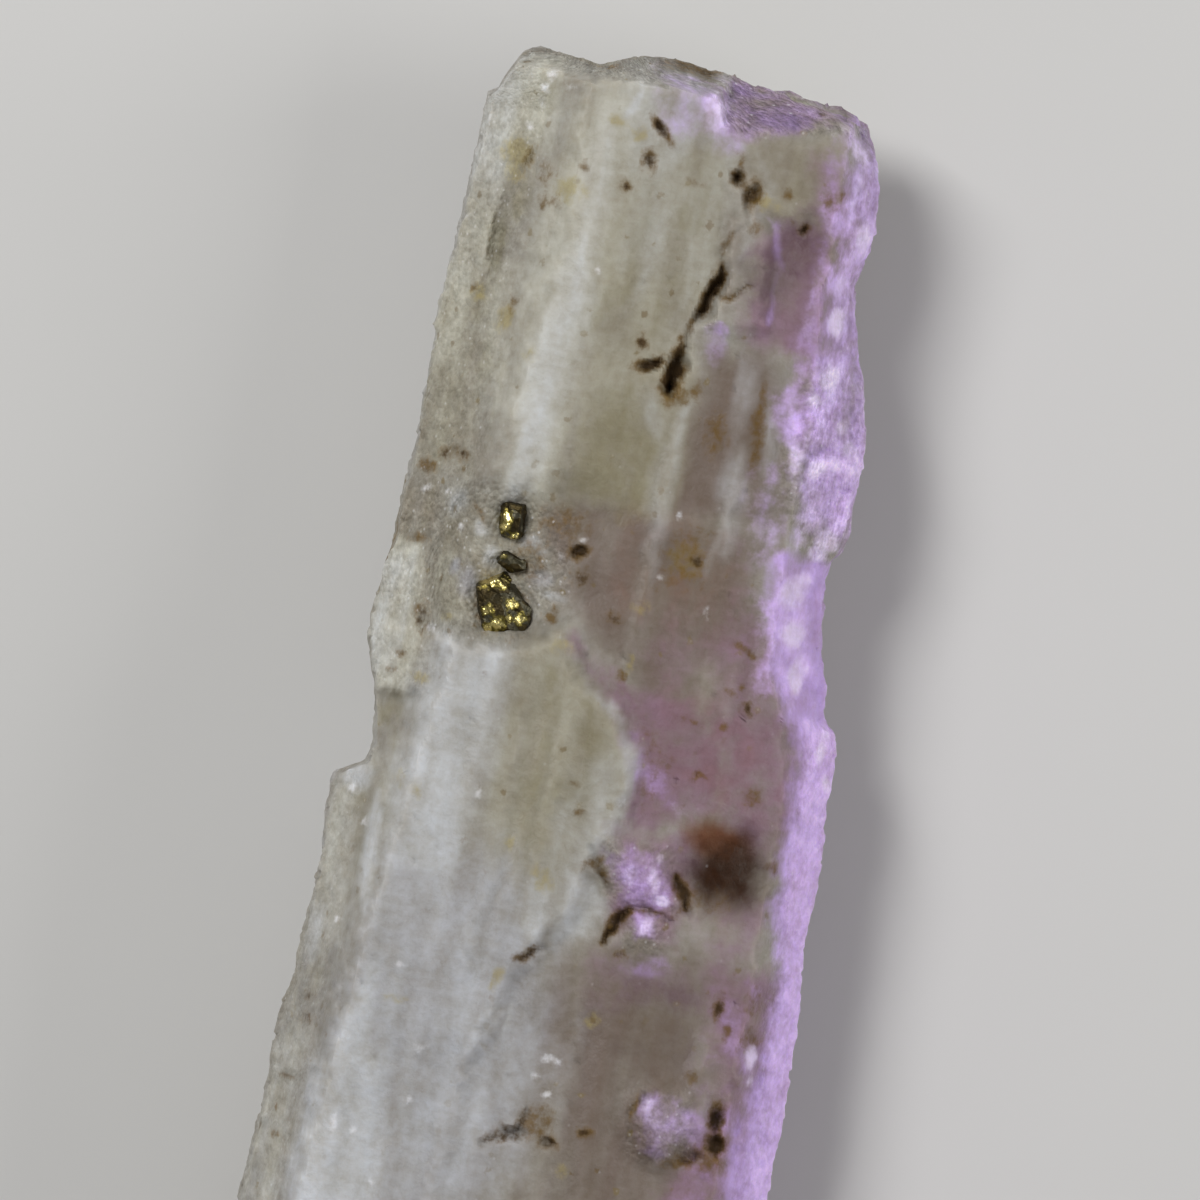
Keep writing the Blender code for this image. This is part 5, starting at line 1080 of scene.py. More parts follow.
def back_height(x, y):
    """Height of the underside: flat in the middle, sloping up to each wall."""
    left = value_at(LEFT_REFERENCE, y) + BACK_INSET - x
    right = x - value_at(RIGHT_REFERENCE, y) + BACK_INSET
    left = left - value_at(LEFT_LEDGES, y + LEDGE_SLANT * left)
    right = right - value_at(RIGHT_LEDGES, y + LEDGE_SLANT * right)
    side = BACK_SLOPE * np.maximum(left, right)
    end = WALL_FOOT / END_BACK_INSET * np.maximum(FLAT_BACK_ENDS[0] - y, y - FLAT_BACK_ENDS[1])
    slope = np.maximum(side, end)
    grain = np.abs(swell("back slopes", x, y)) + BACK_FACET_SHARE * facets("back slopes", x, y)
    flat_grain = BACK_GRAIN * np.maximum(facets("flat back", x, y * FLAT_BACK_SQUEEZE), 0)
    return np.clip(slope + SLOPE_GRAIN * grain * (slope > 0), flat_grain, WALL_FOOT)


def wall_bulge(name, place, up, z):
    """How far a pair of walls stands out at each place along them: a swelling belly with broken chips."""
    bulge, swelling = WALL_BULGES[name]
    belly = np.sin(np.pi * up) * (bulge + swelling * swell(name, place, up * WALL_SWELLS))
    chips = facets(name, place, z * CHIP_SQUEEZE) + CHIP_SWELL * swell(name + " chips", place, z)
    return belly + WALL_CHIP * chips


def crystal_point(across, along, up, look):
    """Place of the points of a unit block on the crystal; up is 0 on the back and 1 on the front."""
    x, y = plan(across, along)
    back, front = back_height(x, y), front_height(x, y, look)
    z = back + (front - back) * up
    side, end = wall_bulge("sides", y, up, z), wall_bulge("ends", x, up, z)
    x = x + side * (np.isclose(across, 1) * 1.0 - np.isclose(across, 0) * 1.0)
    y = y + end * (np.isclose(along, 1) * 1.0 - np.isclose(along, 0) * 1.0)
    return x, y, z


def unit_block():
    """A finely divided block from 0 to 1 along each axis."""
    block = bmesh.new()
    bmesh.ops.create_grid(block, x_segments=COLUMNS, y_segments=ROWS, size=0.5)
    skin = bmesh.ops.extrude_face_region(block, geom=block.faces[:])
    raised = [item for item in skin["geom"] if isinstance(item, bmesh.types.BMVert)]
    bmesh.ops.translate(block, vec=(0, 0, 1), verts=raised)
    walls = [edge for edge in block.edges if abs(edge.verts[0].co.z - edge.verts[1].co.z) > 0.5]
    bmesh.ops.subdivide_edges(block, edges=walls, cuts=WALL_ROWS - 1, use_grid_fill=True)
    bmesh.ops.translate(block, vec=(0.5, 0.5, 0), verts=block.verts)
    bmesh.ops.recalc_face_normals(block, faces=block.faces)
    bmesh.ops.triangulate(block, faces=block.faces)
    return block


def new_object(name, shape, material):
    """Turns a bmesh into a named object with one material."""
    mesh = bpy.data.meshes.new(name)
    shape.to_mesh(mesh)
    shape.free()
    mesh.materials.append(material)
    piece = bpy.data.objects.new(name, mesh)
    bpy.context.scene.collection.objects.link(piece)
    return piece


def coordinates(mesh):
    """The mesh's vertex coordinates as three rows."""
    flat = np.empty(len(mesh.vertices) * 3)
    mesh.vertices.foreach_get("co", flat)
    return flat.reshape(-1, 3).T


def place_vertices(mesh, x, y, z):
    """Moves the mesh's vertices to these places in millimetres."""
    mesh.vertices.foreach_set("co", (np.stack((x, y, z), axis=1) * MM).ravel())
    mesh.update()


def store(mesh, name, values, kind="FLOAT"):
    """Keeps one value for each vertex as an attribute that a material can read."""
    attribute = mesh.attributes.new(name, kind, "POINT")
    field = "value" if kind == "FLOAT" else "vector"
    attribute.data.foreach_set(field, np.ascontiguousarray(values).ravel())


def thin_back(crystal, up):
    """Thins the back and the lower walls until the whole has its share of triangles."""
    group = crystal.vertex_groups.new(name="back")
    group.add(np.nonzero(up < THINNED_BELOW)[0].tolist(), 1.0, "REPLACE")
    thin = crystal.modifiers.new("thin", "DECIMATE")
    thin.ratio = CRYSTAL_TRIANGLES / len(crystal.data.polygons)
    thin.vertex_group = "back"
    thinned = crystal.evaluated_get(bpy.context.evaluated_depsgraph_get())
    mesh = bpy.data.meshes.new_from_object(thinned)
    crystal.modifiers.remove(thin)
    crystal.vertex_groups.remove(group)
    crystal.data = mesh


def tints_of_front(x, y):
    """Strength of each tint at each point seen from above."""
    tints = {name: np.zeros(x.shape) for name in TINTS}

    def add(name, strength, outside, softness):
        tints[name] = np.maximum(tints[name], strength * smooth(0.5 - outside / softness))
        if name == "dark":
            stain = STAIN_SHARE * strength * smooth(1 - outside / STAIN_REACH)
            tints["rust"] = np.maximum(tints["rust"], stain)

    for name, fields in TINT_FIELDS.items():
        for softness, strength, outline in fields:
            add(name, strength, -depth_inside(x, y, outline), softness)
    for name, bands in TINT_BANDS.items():
        for width, strength, path in bands:
            half = width / 2 * (1 - BAND_TAPER * (2 * path_share(x, y, path) - 1) ** 2)
            add(name, strength, path_distance(x, y, path) - half, BAND_SOFTNESS * width + LEAST_SOFTNESS)
    for name, spots in TINT_SPOTS.items():
        for strength, centre_x, centre_y, wide, long, *turn in spots:
            share = np.sqrt(inside_ellipse(x, y, (centre_x, centre_y), (wide, long), *turn))
            least = min(wide, long)
            add(name, strength, (share - 1) * least, SPOT_SOFTNESS * least + LEAST_SOFTNESS)
    return tints


def tints_of_walls(x, y, z):
    """Strength of each tint on the walls and the back, where it differs from none."""
    milk = cloud("wall milk", x, y, z / 2)
    rusty = swell("wall rust", x, y, z)
    right = smooth(x / VIOLET_START - 1)
    return {
        # The right walls get the painted violet light as a lilac tint, fading towards the floor.
        "lilac": (WALL_VIOLET_LIGHT[0] + WALL_VIOLET_LIGHT[1] * milk) * right * smooth(z / VIOLET_FADE),
        "mauve": WALL_MAUVE * right,
        "white": WALL_WHITE * milk * (1 - right),
        "cream": WALL_CREAM * (1 - milk),
        "tan": WALL_TAN * cloud("wall tan", x, y),
        "rust": WALL_RUST * smooth(WALL_RUST_GROWTH * rusty - WALL_RUST_LOSS),
    }


def tint_crystal(mesh, look):
    """Stores the tints, roughness, hollows (for painted shade) and flow lines on the crystal's vertices."""
    x, y, z = coordinates(mesh) / MM
    front = front_height(x, y, look)
    under = smooth((front - z - UNDER_START) / UNDER_RUN)
    walls = tints_of_walls(x, y, z)
    tints = tints_of_front(*ragged(x, y))
    for name, share in tints.items():
        store(mesh, name, share * (1 - under) + walls.get(name, 0.0) * under)
    rough = roughness(x, y) * (1 - under) + UNDER_ROUGHNESS * under
    store(mesh, "rough", rough)
    clean = np.maximum.reduce([share * tints[name] for name, share in CLEAN_TINTS.items()])
    store(mesh, "stained", np.clip(STAINED - clean + STAINED_WHERE_ROUGH * rough, 0, 1))
    # How hollow each place is, which the material turns into painted shade.
    around = [front_height(x + HOLLOW_REACH * i, y + HOLLOW_REACH * j, look)
              for i, j in ((-1, 0), (1, 0), (0, -1), (0, 1))]
    store(mesh, "hollow", (np.mean(around, axis=0) - front) * (1 - under) / HOLLOW_REACH)
    even = z - (front - prism_front(x, y)) * np.clip(z / front, 0, 1)
    across, along = rolled_out(x, y, even)
    store(mesh, "rolled", np.stack((across, along, 0 * z), axis=1), "FLOAT_VECTOR")
    streaks = share_across(x, y) * STREAKS_ACROSS + across - x
    store(mesh, "flow", np.stack((streaks, along / STREAK_LENGTH, 0 * z), axis=1), "FLOAT_VECTOR")


NOISE_ROUGHNESS = 0.6
# A mask below this share is broken less and less, so that no pattern shows where there is no mask.
EDGE_PRESENCE = 0.15


def feed(tree, taker, inputs):
    """Sets a node's inputs to plain values or links them to other nodes' outputs."""
    for socket, value in inputs.items():
        if isinstance(value, bpy.types.NodeSocket):
            tree.links.new(value, taker.inputs[socket])
        else:
            taker.inputs[socket].default_value = value


def node(tree, kind, inputs, **settings):
    """Adds a shader node, sets it up and feeds its inputs."""
    made = tree.nodes.new("ShaderNode" + kind)
    for name, value in settings.items():
        setattr(made, name, value)
    feed(tree, made, inputs)
    return made


def calculate(tree, operation, *values):
    """A Math node's result."""
    return node(tree, "Math", dict(enumerate(values)), operation=operation).outputs[0]


def mixed(tree, share, first, second, blend="MIX"):
    """A colour between two others."""
    inputs = {0: share, 6: first, 7: second}
    return node(tree, "Mix", inputs, data_type="RGBA", blend_type=blend).outputs[2]


def stretched(tree, value, low, high, to_low=0.0, to_high=1.0):
    """A value's range from low to high brought to another range."""
    return node(tree, "MapRange", {0: value, 1: low, 2: high, 3: to_low, 4: to_high}).outputs[0]


def noise_value(tree, place, scale, detail, dimensions="3D"):
    """Cloudy noise around 0.5."""
    inputs = {"Vector": place, "Scale": scale, "Detail": detail, "Roughness": NOISE_ROUGHNESS}
    return node(tree, "TexNoise", inputs, noise_dimensions=dimensions).outputs["Fac"]


def stored(tree, name, output="Fac"):
    """An attribute of the mesh."""
    return node(tree, "Attribute", {}, attribute_name=name).outputs[output]


def millimetres(tree, turn=(0.0, 0.0, 0.0)):
    """The object's own coordinates in millimetres, turned by these angles."""
    place = node(tree, "TexCoord", {}).outputs["Object"]
    return node(tree, "Mapping", {"Vector": place, "Rotation": turn, "Scale": (1 / MM,) * 3}).outputs[0]


def opaque(rgb):
    """A colour with full alpha."""
    return (*rgb, 1.0)


def new_group(name, inputs, outputs):
    """An empty shader node group with these sockets, and its input and output nodes."""
    tree = bpy.data.node_groups.new(name, "ShaderNodeTree")
    for socket, kind, default in inputs:
        made = tree.interface.new_socket(socket, in_out="INPUT", socket_type=kind)
        if default is not None:
            made.default_value = default
    for socket, kind in outputs:
        tree.interface.new_socket(socket, in_out="OUTPUT", socket_type=kind)
    return tree, tree.nodes.new("NodeGroupInput").outputs, tree.nodes.new("NodeGroupOutput")


def broken_edge_group():
    """Group that breaks a mask's soft edge with a pattern, so that one tint runs into the next unevenly."""
    tree, given, result = new_group(
        "broken_edge",
        (("Mask", "NodeSocketFloat", 0.0), ("Pattern", "NodeSocketFloat", 0.5),
         ("Raggedness", "NodeSocketFloat", 1.0), ("Softness", "NodeSocketFloat", 0.3)),
        (("Mask", "NodeSocketFloat"),),
    )
    centred = calculate(tree, "SUBTRACT", given["Pattern"], 0.5)
    shift = calculate(tree, "MULTIPLY", centred, given["Raggedness"])
    present = stretched(tree, given["Mask"], 0.0, EDGE_PRESENCE)
    level = calculate(tree, "MULTIPLY_ADD", shift, present, given["Mask"])
    low = calculate(tree, "SUBTRACT", 0.5, given["Softness"])
    high = calculate(tree, "ADD", 0.5, given["Softness"])
    edge = node(tree, "MapRange", {0: level, 1: low, 2: high}, interpolation_type="SMOOTHSTEP").outputs[0]
    feed(tree, result, {"Mask": edge})
    return tree


def grit_group():
    """Group for the small grains of a broken surface: a random value of each grain and its height."""
    tree, given, result = new_group(
        "grit",
        (("Place", "NodeSocketVector", None), ("Grains per Millimetre", "NodeSocketFloat", 5.0)),
        (("Grain", "NodeSocketFloat"), ("Height", "NodeSocketFloat")),
    )
    grains = node(tree, "TexVoronoi", {"Vector": given["Place"], "Scale": given["Grains per Millimetre"]},
                  voronoi_dimensions="2D")
    shade = node(tree, "SeparateColor", {0: grains.outputs["Color"]}).outputs[0]
    feed(tree, result, {"Grain": shade, "Height": grains.outputs["Distance"]})
    return tree


def effect(tree, name, build, inputs):
    """The node group of this name, built the first time it is asked for and placed in a material."""
    placed = tree.nodes.new("ShaderNodeGroup")
    placed.node_tree = bpy.data.node_groups.get(name) or build()
    feed(tree, placed, inputs)
    return placed.outputs


def broken_edge(tree, mask, pattern, raggedness, softness):
    """A mask with its soft edge broken by a pattern."""
    inputs = {"Mask": mask, "Pattern": pattern, "Raggedness": raggedness, "Softness": softness}
    return effect(tree, "broken_edge", broken_edge_group, inputs)["Mask"]


def grit_of(tree, place, per_mm):
    """The small grains of a broken surface, this many to a millimetre."""
    return effect(tree, "grit", grit_group, {"Place": place, "Grains per Millimetre": per_mm})


def new_material(name):
    """A node material, its tree and its main shader."""
    material = bpy.data.materials.new(name)
    material.use_nodes = True
    return material, material.node_tree, material.node_tree.nodes["Principled BSDF"]


# How each tint's edge breaks: pattern, raggedness, softness, opacity. They are painted in this order.
TINT_EDGES = {
    "tan": ("streak", 0.4, 0.5, 1.0),
    "cream": ("streak", 0.5, 0.5, 0.85),
    "mauve": ("cloud", 0.5, 0.5, 0.95),
    "olive": ("cloud", 0.8, 0.5, 0.65),
    "haze": ("cloud", 0.3, 0.5, 0.9),
    "bone": ("streak", 0.3, 0.5, 0.9),
    "white": ("streak", 0.24, 0.5, 0.9),
    "lilac": ("cloud", 0.5, 0.5, 0.95),
    "frost": ("cloud", 0.7, 0.5, 0.8),
    "ochre": ("mottle", 0.6, 0.5, 0.62),
    "rust": ("mottle", 0.6, 0.5, 0.85),
    "sienna": ("cloud", 0.3, 0.5, 0.9),
    "umber": ("cloud", 0.3, 0.5, 1.0),
    "dark": ("mottle", 0.45, 0.42, 0.9),
    "gleam": ("cloud", 0.7, 0.5, 0.84),
    "glint": ("mottle", 0.4, 0.5, 0.75),
}
# Patterns of the danburite: the coordinates they run over, scale, detail, and the range of the noise that is
# brought to 0 to 1. The rungs run over the rolled-out surface, scaled like this.
PATTERNS = {
    "streak": ("flow", 1.0, 1.4, 0.26, 0.74),
    "cloud": ("rolled", 0.8, 4.0, 0.3, 0.7),
    "mottle": ("rolled", 3.5, 3.0, 0.3, 0.7),
    "rungs": ("rungs", 1.0, 2.0, 0.3, 0.7),
}
RUNGS_SCALE = (0.5, 4.0, 1.0)
# How milky each pattern makes the body, and what the milkiest places are multiplied with.
MILKY_SHARES = {"streak": 0.22, "cloud": 0.38, "mottle": 0.28, "rungs": 0.12}
MILKY_LIFT = (1.13, 1.15, 1.2, 1.0)

# Specks of iron stain and painted glints scattered over the surface: how many cells to a millimetre, the
# random values above which a cell holds one, and their reach in cells.
SPECKS_PER_MM = 1.15
SPECK_FROM = 0.72
SPECK_FADE = 0.1
SPECK_REACH = 0.08
GLINT_FROM = 0.8
GLINT_REACH = 0.07
# How uneven the specks' edges are, how much larger some of them are, and how much ochre and how strong a
# colour they have.
SPECK_UNEVENNESS = 0.16
SPECK_GROWTH = 0.08
SPECK_OCHRE = 0.5
SPECK_OPACITY = 0.55
# Strength of the painted glints on smooth surface, and how rough it is where they are whole.
GLINT_WHERE_SMOOTH = 0.25
GLINT_ROUGHNESS = 0.5

# Sugary grain: how many grains to a millimetre, what the mottle adds to their random value, the value that
# keeps the tone as it is, and how strongly the grains and the painted shade of the hollows darken it.
GRAINS_PER_MM = 7.0
SUGAR_MOTTLE = 1.4
SUGAR_LEVEL = 1.15
SUGAR_SHADE = 0.27
PAINTED_HOLLOW_SHADE = -0.12
# Painted sparkle of grains: the range of their random value, their edge and middle, and how much they
# whiten.
SPARKLE_RANGE = (0.95, 0.98)
SPARKLE_EDGE = (0.4, 0.1)
SPARKLE_OPACITY = 0.6

# How matt the danburite is: the range over the mottle, and what rough, sparkling and dark-bottomed places
# add. Then the bumps of the grit and the mottle, and how light bends, reflects and scatters.
DANBURITE_GLOSS = (0.38, 0.5)
GLOSS_WHERE_ROUGH = 0.1
GLOSS_OF_SPARKLE = -0.35
GLOSS_OF_DARK_PITS = 0.3
GRIT_BUMP = -0.1
MOTTLE_BUMP = 0.02
DANBURITE_BUMP = 0.8
REFRACTION = 1.63
REFLECTION = 0.12
SCATTER_RADIUS = (1.0, 0.9, 0.85)
SCATTER_DEPTH = 0.7 * MM


def specks(tree, place, mottle, stained, rough):
    """Masks of the scattered specks and the painted glints, and a random value of each speck."""
    spots = node(tree, "TexVoronoi", {"Vector": place, "Scale": SPECKS_PER_MM}, voronoi_dimensions="2D")
    kinds = node(tree, "SeparateColor", {0: spots.outputs["Color"]}).outputs
    distance = spots.outputs["Distance"]
    centred = calculate(tree, "SUBTRACT", mottle, 0.5)
    uneven = calculate(tree, "MULTIPLY_ADD", centred, SPECK_UNEVENNESS, distance)
    larger = calculate(tree, "MULTIPLY_ADD", kinds[1], -SPECK_GROWTH, uneven)
    speck = calculate(tree, "MULTIPLY", stretched(tree, larger, SPECK_REACH, 0.0),
                      stretched(tree, kinds[0], SPECK_FROM, SPECK_FROM + SPECK_FADE))
    glint = calculate(tree, "MULTIPLY", stretched(tree, distance, GLINT_REACH, 0.0),
                      stretched(tree, kinds[2], GLINT_FROM, 1.0))
    broken = stretched(tree, rough, 0.0, GLINT_ROUGHNESS, GLINT_WHERE_SMOOTH, 1.0)
    return calculate(tree, "MULTIPLY", speck, stained), calculate(tree, "MULTIPLY", glint, broken), kinds[2]


def danburite_patterns(tree, place):
    """The danburite's cloudy patterns, by name."""
    rungs = node(tree, "Mapping", {"Vector": place, "Scale": RUNGS_SCALE}).outputs[0]
    places = {"flow": stored(tree, "flow", "Vector"), "rolled": place, "rungs": rungs}
    return {name: stretched(tree, noise_value(tree, places[over], scale, detail, "2D"), low, high)
            for name, (over, scale, detail, low, high) in PATTERNS.items()}


def tinted_body(tree, look, patterns):
    """The danburite's ground colour with every tint painted over it in turn."""
    tone = mixed(tree, patterns["cloud"], opaque(look.ground), opaque(look.fibre))
    for tint, (pattern, raggedness, softness, opacity) in TINT_EDGES.items():
        edge = broken_edge(tree, stored(tree, tint), patterns[pattern], raggedness, softness)
        tone = mixed(tree, calculate(tree, "MULTIPLY", edge, opacity), tone, opaque(getattr(look, tint)))
    return tone


def danburite_material(look):
    """Milky, clouded danburite, white to tan, with painted violet light and glints, stained in its pits."""
    material, tree, shader = new_material("milky_danburite")
    place = stored(tree, "rolled", "Vector")
    patterns = danburite_patterns(tree, place)
    mottle = patterns["mottle"]
    rough = stored(tree, "rough")
    grit = grit_of(tree, place, GRAINS_PER_MM)
    speck, glint, kind = specks(tree, place, mottle, stored(tree, "stained"), rough)

    tone = tinted_body(tree, look, patterns)
    iron = mixed(tree, calculate(tree, "MULTIPLY", kind, SPECK_OCHRE), opaque(look.rust), opaque(look.ochre))
    tone = mixed(tree, calculate(tree, "MULTIPLY", speck, SPECK_OPACITY), tone, iron)
    milky = 0.0
    for pattern, share in MILKY_SHARES.items():
        milky = calculate(tree, "MULTIPLY_ADD", patterns[pattern], share, milky)
    tone = mixed(tree, 1.0, tone, mixed(tree, milky, opaque(look.murk), MILKY_LIFT), "MULTIPLY")
    sugar = calculate(tree, "MULTIPLY_ADD", mottle, SUGAR_MOTTLE, grit["Grain"])
    grain = calculate(tree, "MULTIPLY", calculate(tree, "SUBTRACT", sugar, SUGAR_LEVEL), rough)
    # Hollows darken the tone as painted shade.
    painted_shade = calculate(tree, "MULTIPLY_ADD", stored(tree, "hollow"), PAINTED_HOLLOW_SHADE, 1.0)
    shade = calculate(tree, "MULTIPLY_ADD", grain, SUGAR_SHADE, painted_shade)
    grey = node(tree, "CombineColor", {0: shade, 1: shade, 2: shade}).outputs[0]
    tone = mixed(tree, 1.0, tone, grey, "MULTIPLY")
    # Sparkling grains and the glints whiten the tone as painted highlights.
    sparkle = calculate(tree, "MULTIPLY", stretched(tree, grit["Height"], *SPARKLE_EDGE), rough)
    sparkle = calculate(tree, "MULTIPLY", stretched(tree, grit["Grain"], *SPARKLE_RANGE), sparkle)
    sparkle = calculate(tree, "MAXIMUM", sparkle, glint)
    tone = mixed(tree, calculate(tree, "MULTIPLY", sparkle, SPARKLE_OPACITY), tone, opaque(look.glint))

    gloss = stretched(tree, mottle, 0.0, 1.0, *DANBURITE_GLOSS)
    gloss = calculate(tree, "MULTIPLY_ADD", rough, GLOSS_WHERE_ROUGH, gloss)
    gloss = calculate(tree, "MULTIPLY_ADD", sparkle, GLOSS_OF_SPARKLE, gloss)
    gloss = calculate(tree, "MULTIPLY_ADD", stored(tree, "dark"), GLOSS_OF_DARK_PITS, gloss)
    gritty = calculate(tree, "MULTIPLY", grit["Height"], rough)
    height = calculate(tree, "MULTIPLY", mottle, MOTTLE_BUMP)
    height = calculate(tree, "MULTIPLY_ADD", gritty, GRIT_BUMP, height)
    bump = node(tree, "Bump", {"Height": height, "Distance": MM, "Strength": DANBURITE_BUMP})
    feed(tree, shader, {
        "Base Color": tone, "Roughness": gloss, "Normal": bump.outputs[0], "IOR": REFRACTION,
        "Specular IOR Level": REFLECTION, "Subsurface Weight": look.milkiness,
        "Subsurface Radius": SCATTER_RADIUS, "Subsurface Scale": SCATTER_DEPTH})
    return material


# Pyrite: a turn of the coordinates, so that a flat pattern runs over the top and every side unsmeared.
SLANT = (math.radians(35), math.radians(35), 0.0)
FACES_PER_MM = 4.5
# Mottle of the metal: scale, detail, and the range brought to 0 to 1.
METAL_MOTTLE = (6.0, 3.0)
METAL_MOTTLE_RANGE = (0.3, 0.7)
# How raggedly and softly the painted glints of bright metal end.
METAL_GLINT_EDGE = (0.7, 0.5)
# Ranges: the faces' random value from tarnish to bloom, the mottle that colours them and how strongly, the
# painted glint from dull to brass and from brass to bright metal, and how matt dull and glinting metal are.
BLOOM_RANGE = (0.55, 0.7)
DULL_RANGE = (0.2, 1.0, 0.0, 0.5)
BRASS_RANGE = (0.2, 0.75)
METAL_RANGE = (0.7, 1.0)
METAL_GLOSS = (0.5, 0.25)
METAL_BUMP_HEIGHT = 0.02 * MM
METAL_BUMP = 0.7

# Floor: scale and detail of its mottle, how much darker that gets, and how matt it is.
FLOOR_MOTTLE = (0.05, 3.0)
FLOOR_DARKER = 0.96
FLOOR_ROUGHNESS = 0.8


def pyrite_material(look):
    """Tarnished pyrite with painted glints of bright brassy metal at its edges."""
    material, tree, shader = new_material("tarnished_pyrite")
    place = millimetres(tree, SLANT)
    faces = grit_of(tree, place, FACES_PER_MM)
    mottle = stretched(tree, noise_value(tree, place, *METAL_MOTTLE), *METAL_MOTTLE_RANGE)
    fresh = broken_edge(tree, stored(tree, "fresh"), mottle, *METAL_GLINT_EDGE)
    bloomed = stretched(tree, faces["Grain"], *BLOOM_RANGE)
    dull = mixed(tree, bloomed, opaque(look.tarnish), opaque(look.bloom))
    dull = mixed(tree, stretched(tree, mottle, *DULL_RANGE), dull, opaque(look.metal), "MULTIPLY")
    dull = mixed(tree, stretched(tree, fresh, *BRASS_RANGE), dull, opaque(look.brass))
    shining = mixed(tree, stretched(tree, fresh, *METAL_RANGE), dull, opaque(look.metal))
    gloss = stretched(tree, fresh, 0.0, 1.0, *METAL_GLOSS)
    bump = node(tree, "Bump", {"Height": mottle, "Distance": METAL_BUMP_HEIGHT, "Strength": METAL_BUMP})
    feed(tree, shader, {
        "Base Color": shining, "Roughness": gloss, "Metallic": 1.0, "Normal": bump.outputs[0]})
    return material


def floor_material(look):
    """Pale matt floor with a very faint mottle."""
    material, tree, shader = new_material("pale_floor")
    mottle = noise_value(tree, millimetres(tree), *FLOOR_MOTTLE)
    darker = tuple(FLOOR_DARKER * value for value in look.floor)
    tone = mixed(tree, mottle, opaque(look.floor), opaque(darker))
    feed(tree, shader, {"Base Color": tone, "Roughness": FLOOR_ROUGHNESS})
    return material


# The grains' meshes: how many times edges longer than this are halved.
GRAIN_DIVISIONS = 5
GRAIN_EDGE = 0.08
# Sizes of the small crystal faces and how much each counts, how far apart the places lie that their tilts
# are drawn from, and how much higher some faces lie than others.
GRAIN_FACES = ((0.42, 1.0), (0.2, 0.5))
TILT_SPREAD = 7.0
GRAIN_FACE_STEP = 0.5
GRAIN_SMOOTHING = 0.5
# Strength of a painted glint at its middle; above 1 it widens the part that is wholly bright metal.
METAL_GLINT_MIDDLE = 1.3


def grain_shape(blocks):
    """The hull of a few tilted blocks, finely divided."""
    shape = bmesh.new()
    for centre, size, turns in blocks:
        turn = Euler([math.radians(angle) for angle in turns]).to_matrix().to_4x4()
        spread = Matrix.Diagonal((*size, 1.0))
        bmesh.ops.create_cube(shape, size=1.0, matrix=Matrix.Translation(centre) @ turn @ spread)
    bmesh.ops.delete(shape, geom=shape.faces[:] + shape.edges[:], context="EDGES_FACES")
    hull = bmesh.ops.convex_hull(shape, input=shape.verts)
    bmesh.ops.delete(shape, geom=hull["geom_interior"], context="VERTS")
    for _ in range(GRAIN_DIVISIONS):
        long_edges = [edge for edge in shape.edges if edge.calc_length() > GRAIN_EDGE]
        bmesh.ops.subdivide_edges(shape, edges=long_edges, cuts=1)
        bmesh.ops.triangulate(shape, faces=shape.faces)
    bmesh.ops.recalc_face_normals(shape, faces=shape.faces)
    return shape


def crystal_faces(place):
    """Rise of the small tilted face that a place on a grain belongs to."""
    rise = 0.0
    for size, weight in GRAIN_FACES:
        scaled = place / size
        middle = noise.voronoi(scaled)[1][0]
        tilt = noise.cell_vector(middle * TILT_SPREAD) * 2 - Vector((1, 1, 1))
        rise += weight * (tilt.dot(scaled - middle) + GRAIN_FACE_STEP * tilt.z)
    return rise


def make_grain(node_name, blocks, metal_glints, look, material):
    """One grain: its hull with small crystal faces pushed in and out, and bright metal painted where it
    glints.
    """
    shape = grain_shape(blocks)
    shape.normal_update()
    rises = [(vert, vert.normal * crystal_faces(vert.co) * look.facet / MM) for vert in shape.verts]
    for vert, rise in rises:
        vert.co += rise
    bmesh.ops.smooth_vert(shape, verts=shape.verts, factor=GRAIN_SMOOTHING,
                          use_axis_x=True, use_axis_y=True, use_axis_z=True)
    bmesh.ops.scale(shape, vec=(MM, MM, MM), verts=shape.verts)
    grain = new_object(node_name.replace("grain", "cluster"), shape, material)
    x, y, _ = coordinates(grain.data) / MM
    shares = [METAL_GLINT_MIDDLE - np.hypot(x - glint_x, y - glint_y) / reach
              for glint_x, glint_y, reach in metal_glints]
    store(grain.data, "fresh", np.clip(np.maximum.reduce(shares), 0, 1))
    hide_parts(node_name)
    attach(grain, "root")
    return grain


class DANBURITE_OT_crystal(bpy.types.Operator):
    """Add the danburite crystal's surface"""

    bl_idname = "danburite.crystal"
    bl_label = "Danburite Crystal"
    bl_options = {"REGISTER", "UNDO"}

    def execute(self, context):
        look = context.scene.danburite_crystal
        crystal = new_object("danburite_surface", unit_block(), danburite_material(look))
        across, along, up = coordinates(crystal.data)
        place_vertices(crystal.data, *crystal_point(across, along, up, look))
        thin_back(crystal, up)
        x, y, z = coordinates(crystal.data) / MM
        place_vertices(crystal.data, x, y, np.where(z < FLAT_BACK_TOP, 0.0, z))
        tint_crystal(crystal.data, look)
        crystal.data.shade_smooth()
        crystal.data.set_sharp_from_angle(angle=CREASE_ANGLE)
        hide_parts("danburite_crystal")
        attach(crystal, "root")
        return {"FINISHED"}


class DANBURITE_OT_pyrite(bpy.types.Operator):
    """Add the three grains of pyrite"""

    bl_idname = "danburite.pyrite"
    bl_label = "Pyrite Grains"
    bl_options = {"REGISTER", "UNDO"}

    def execute(self, context):
        look = context.scene.danburite_pyrite
        material = pyrite_material(look)
        for node_name, (blocks, metal_glints) in GRAINS.items():
            make_grain(node_name, blocks, metal_glints, look, material)
        return {"FINISHED"}


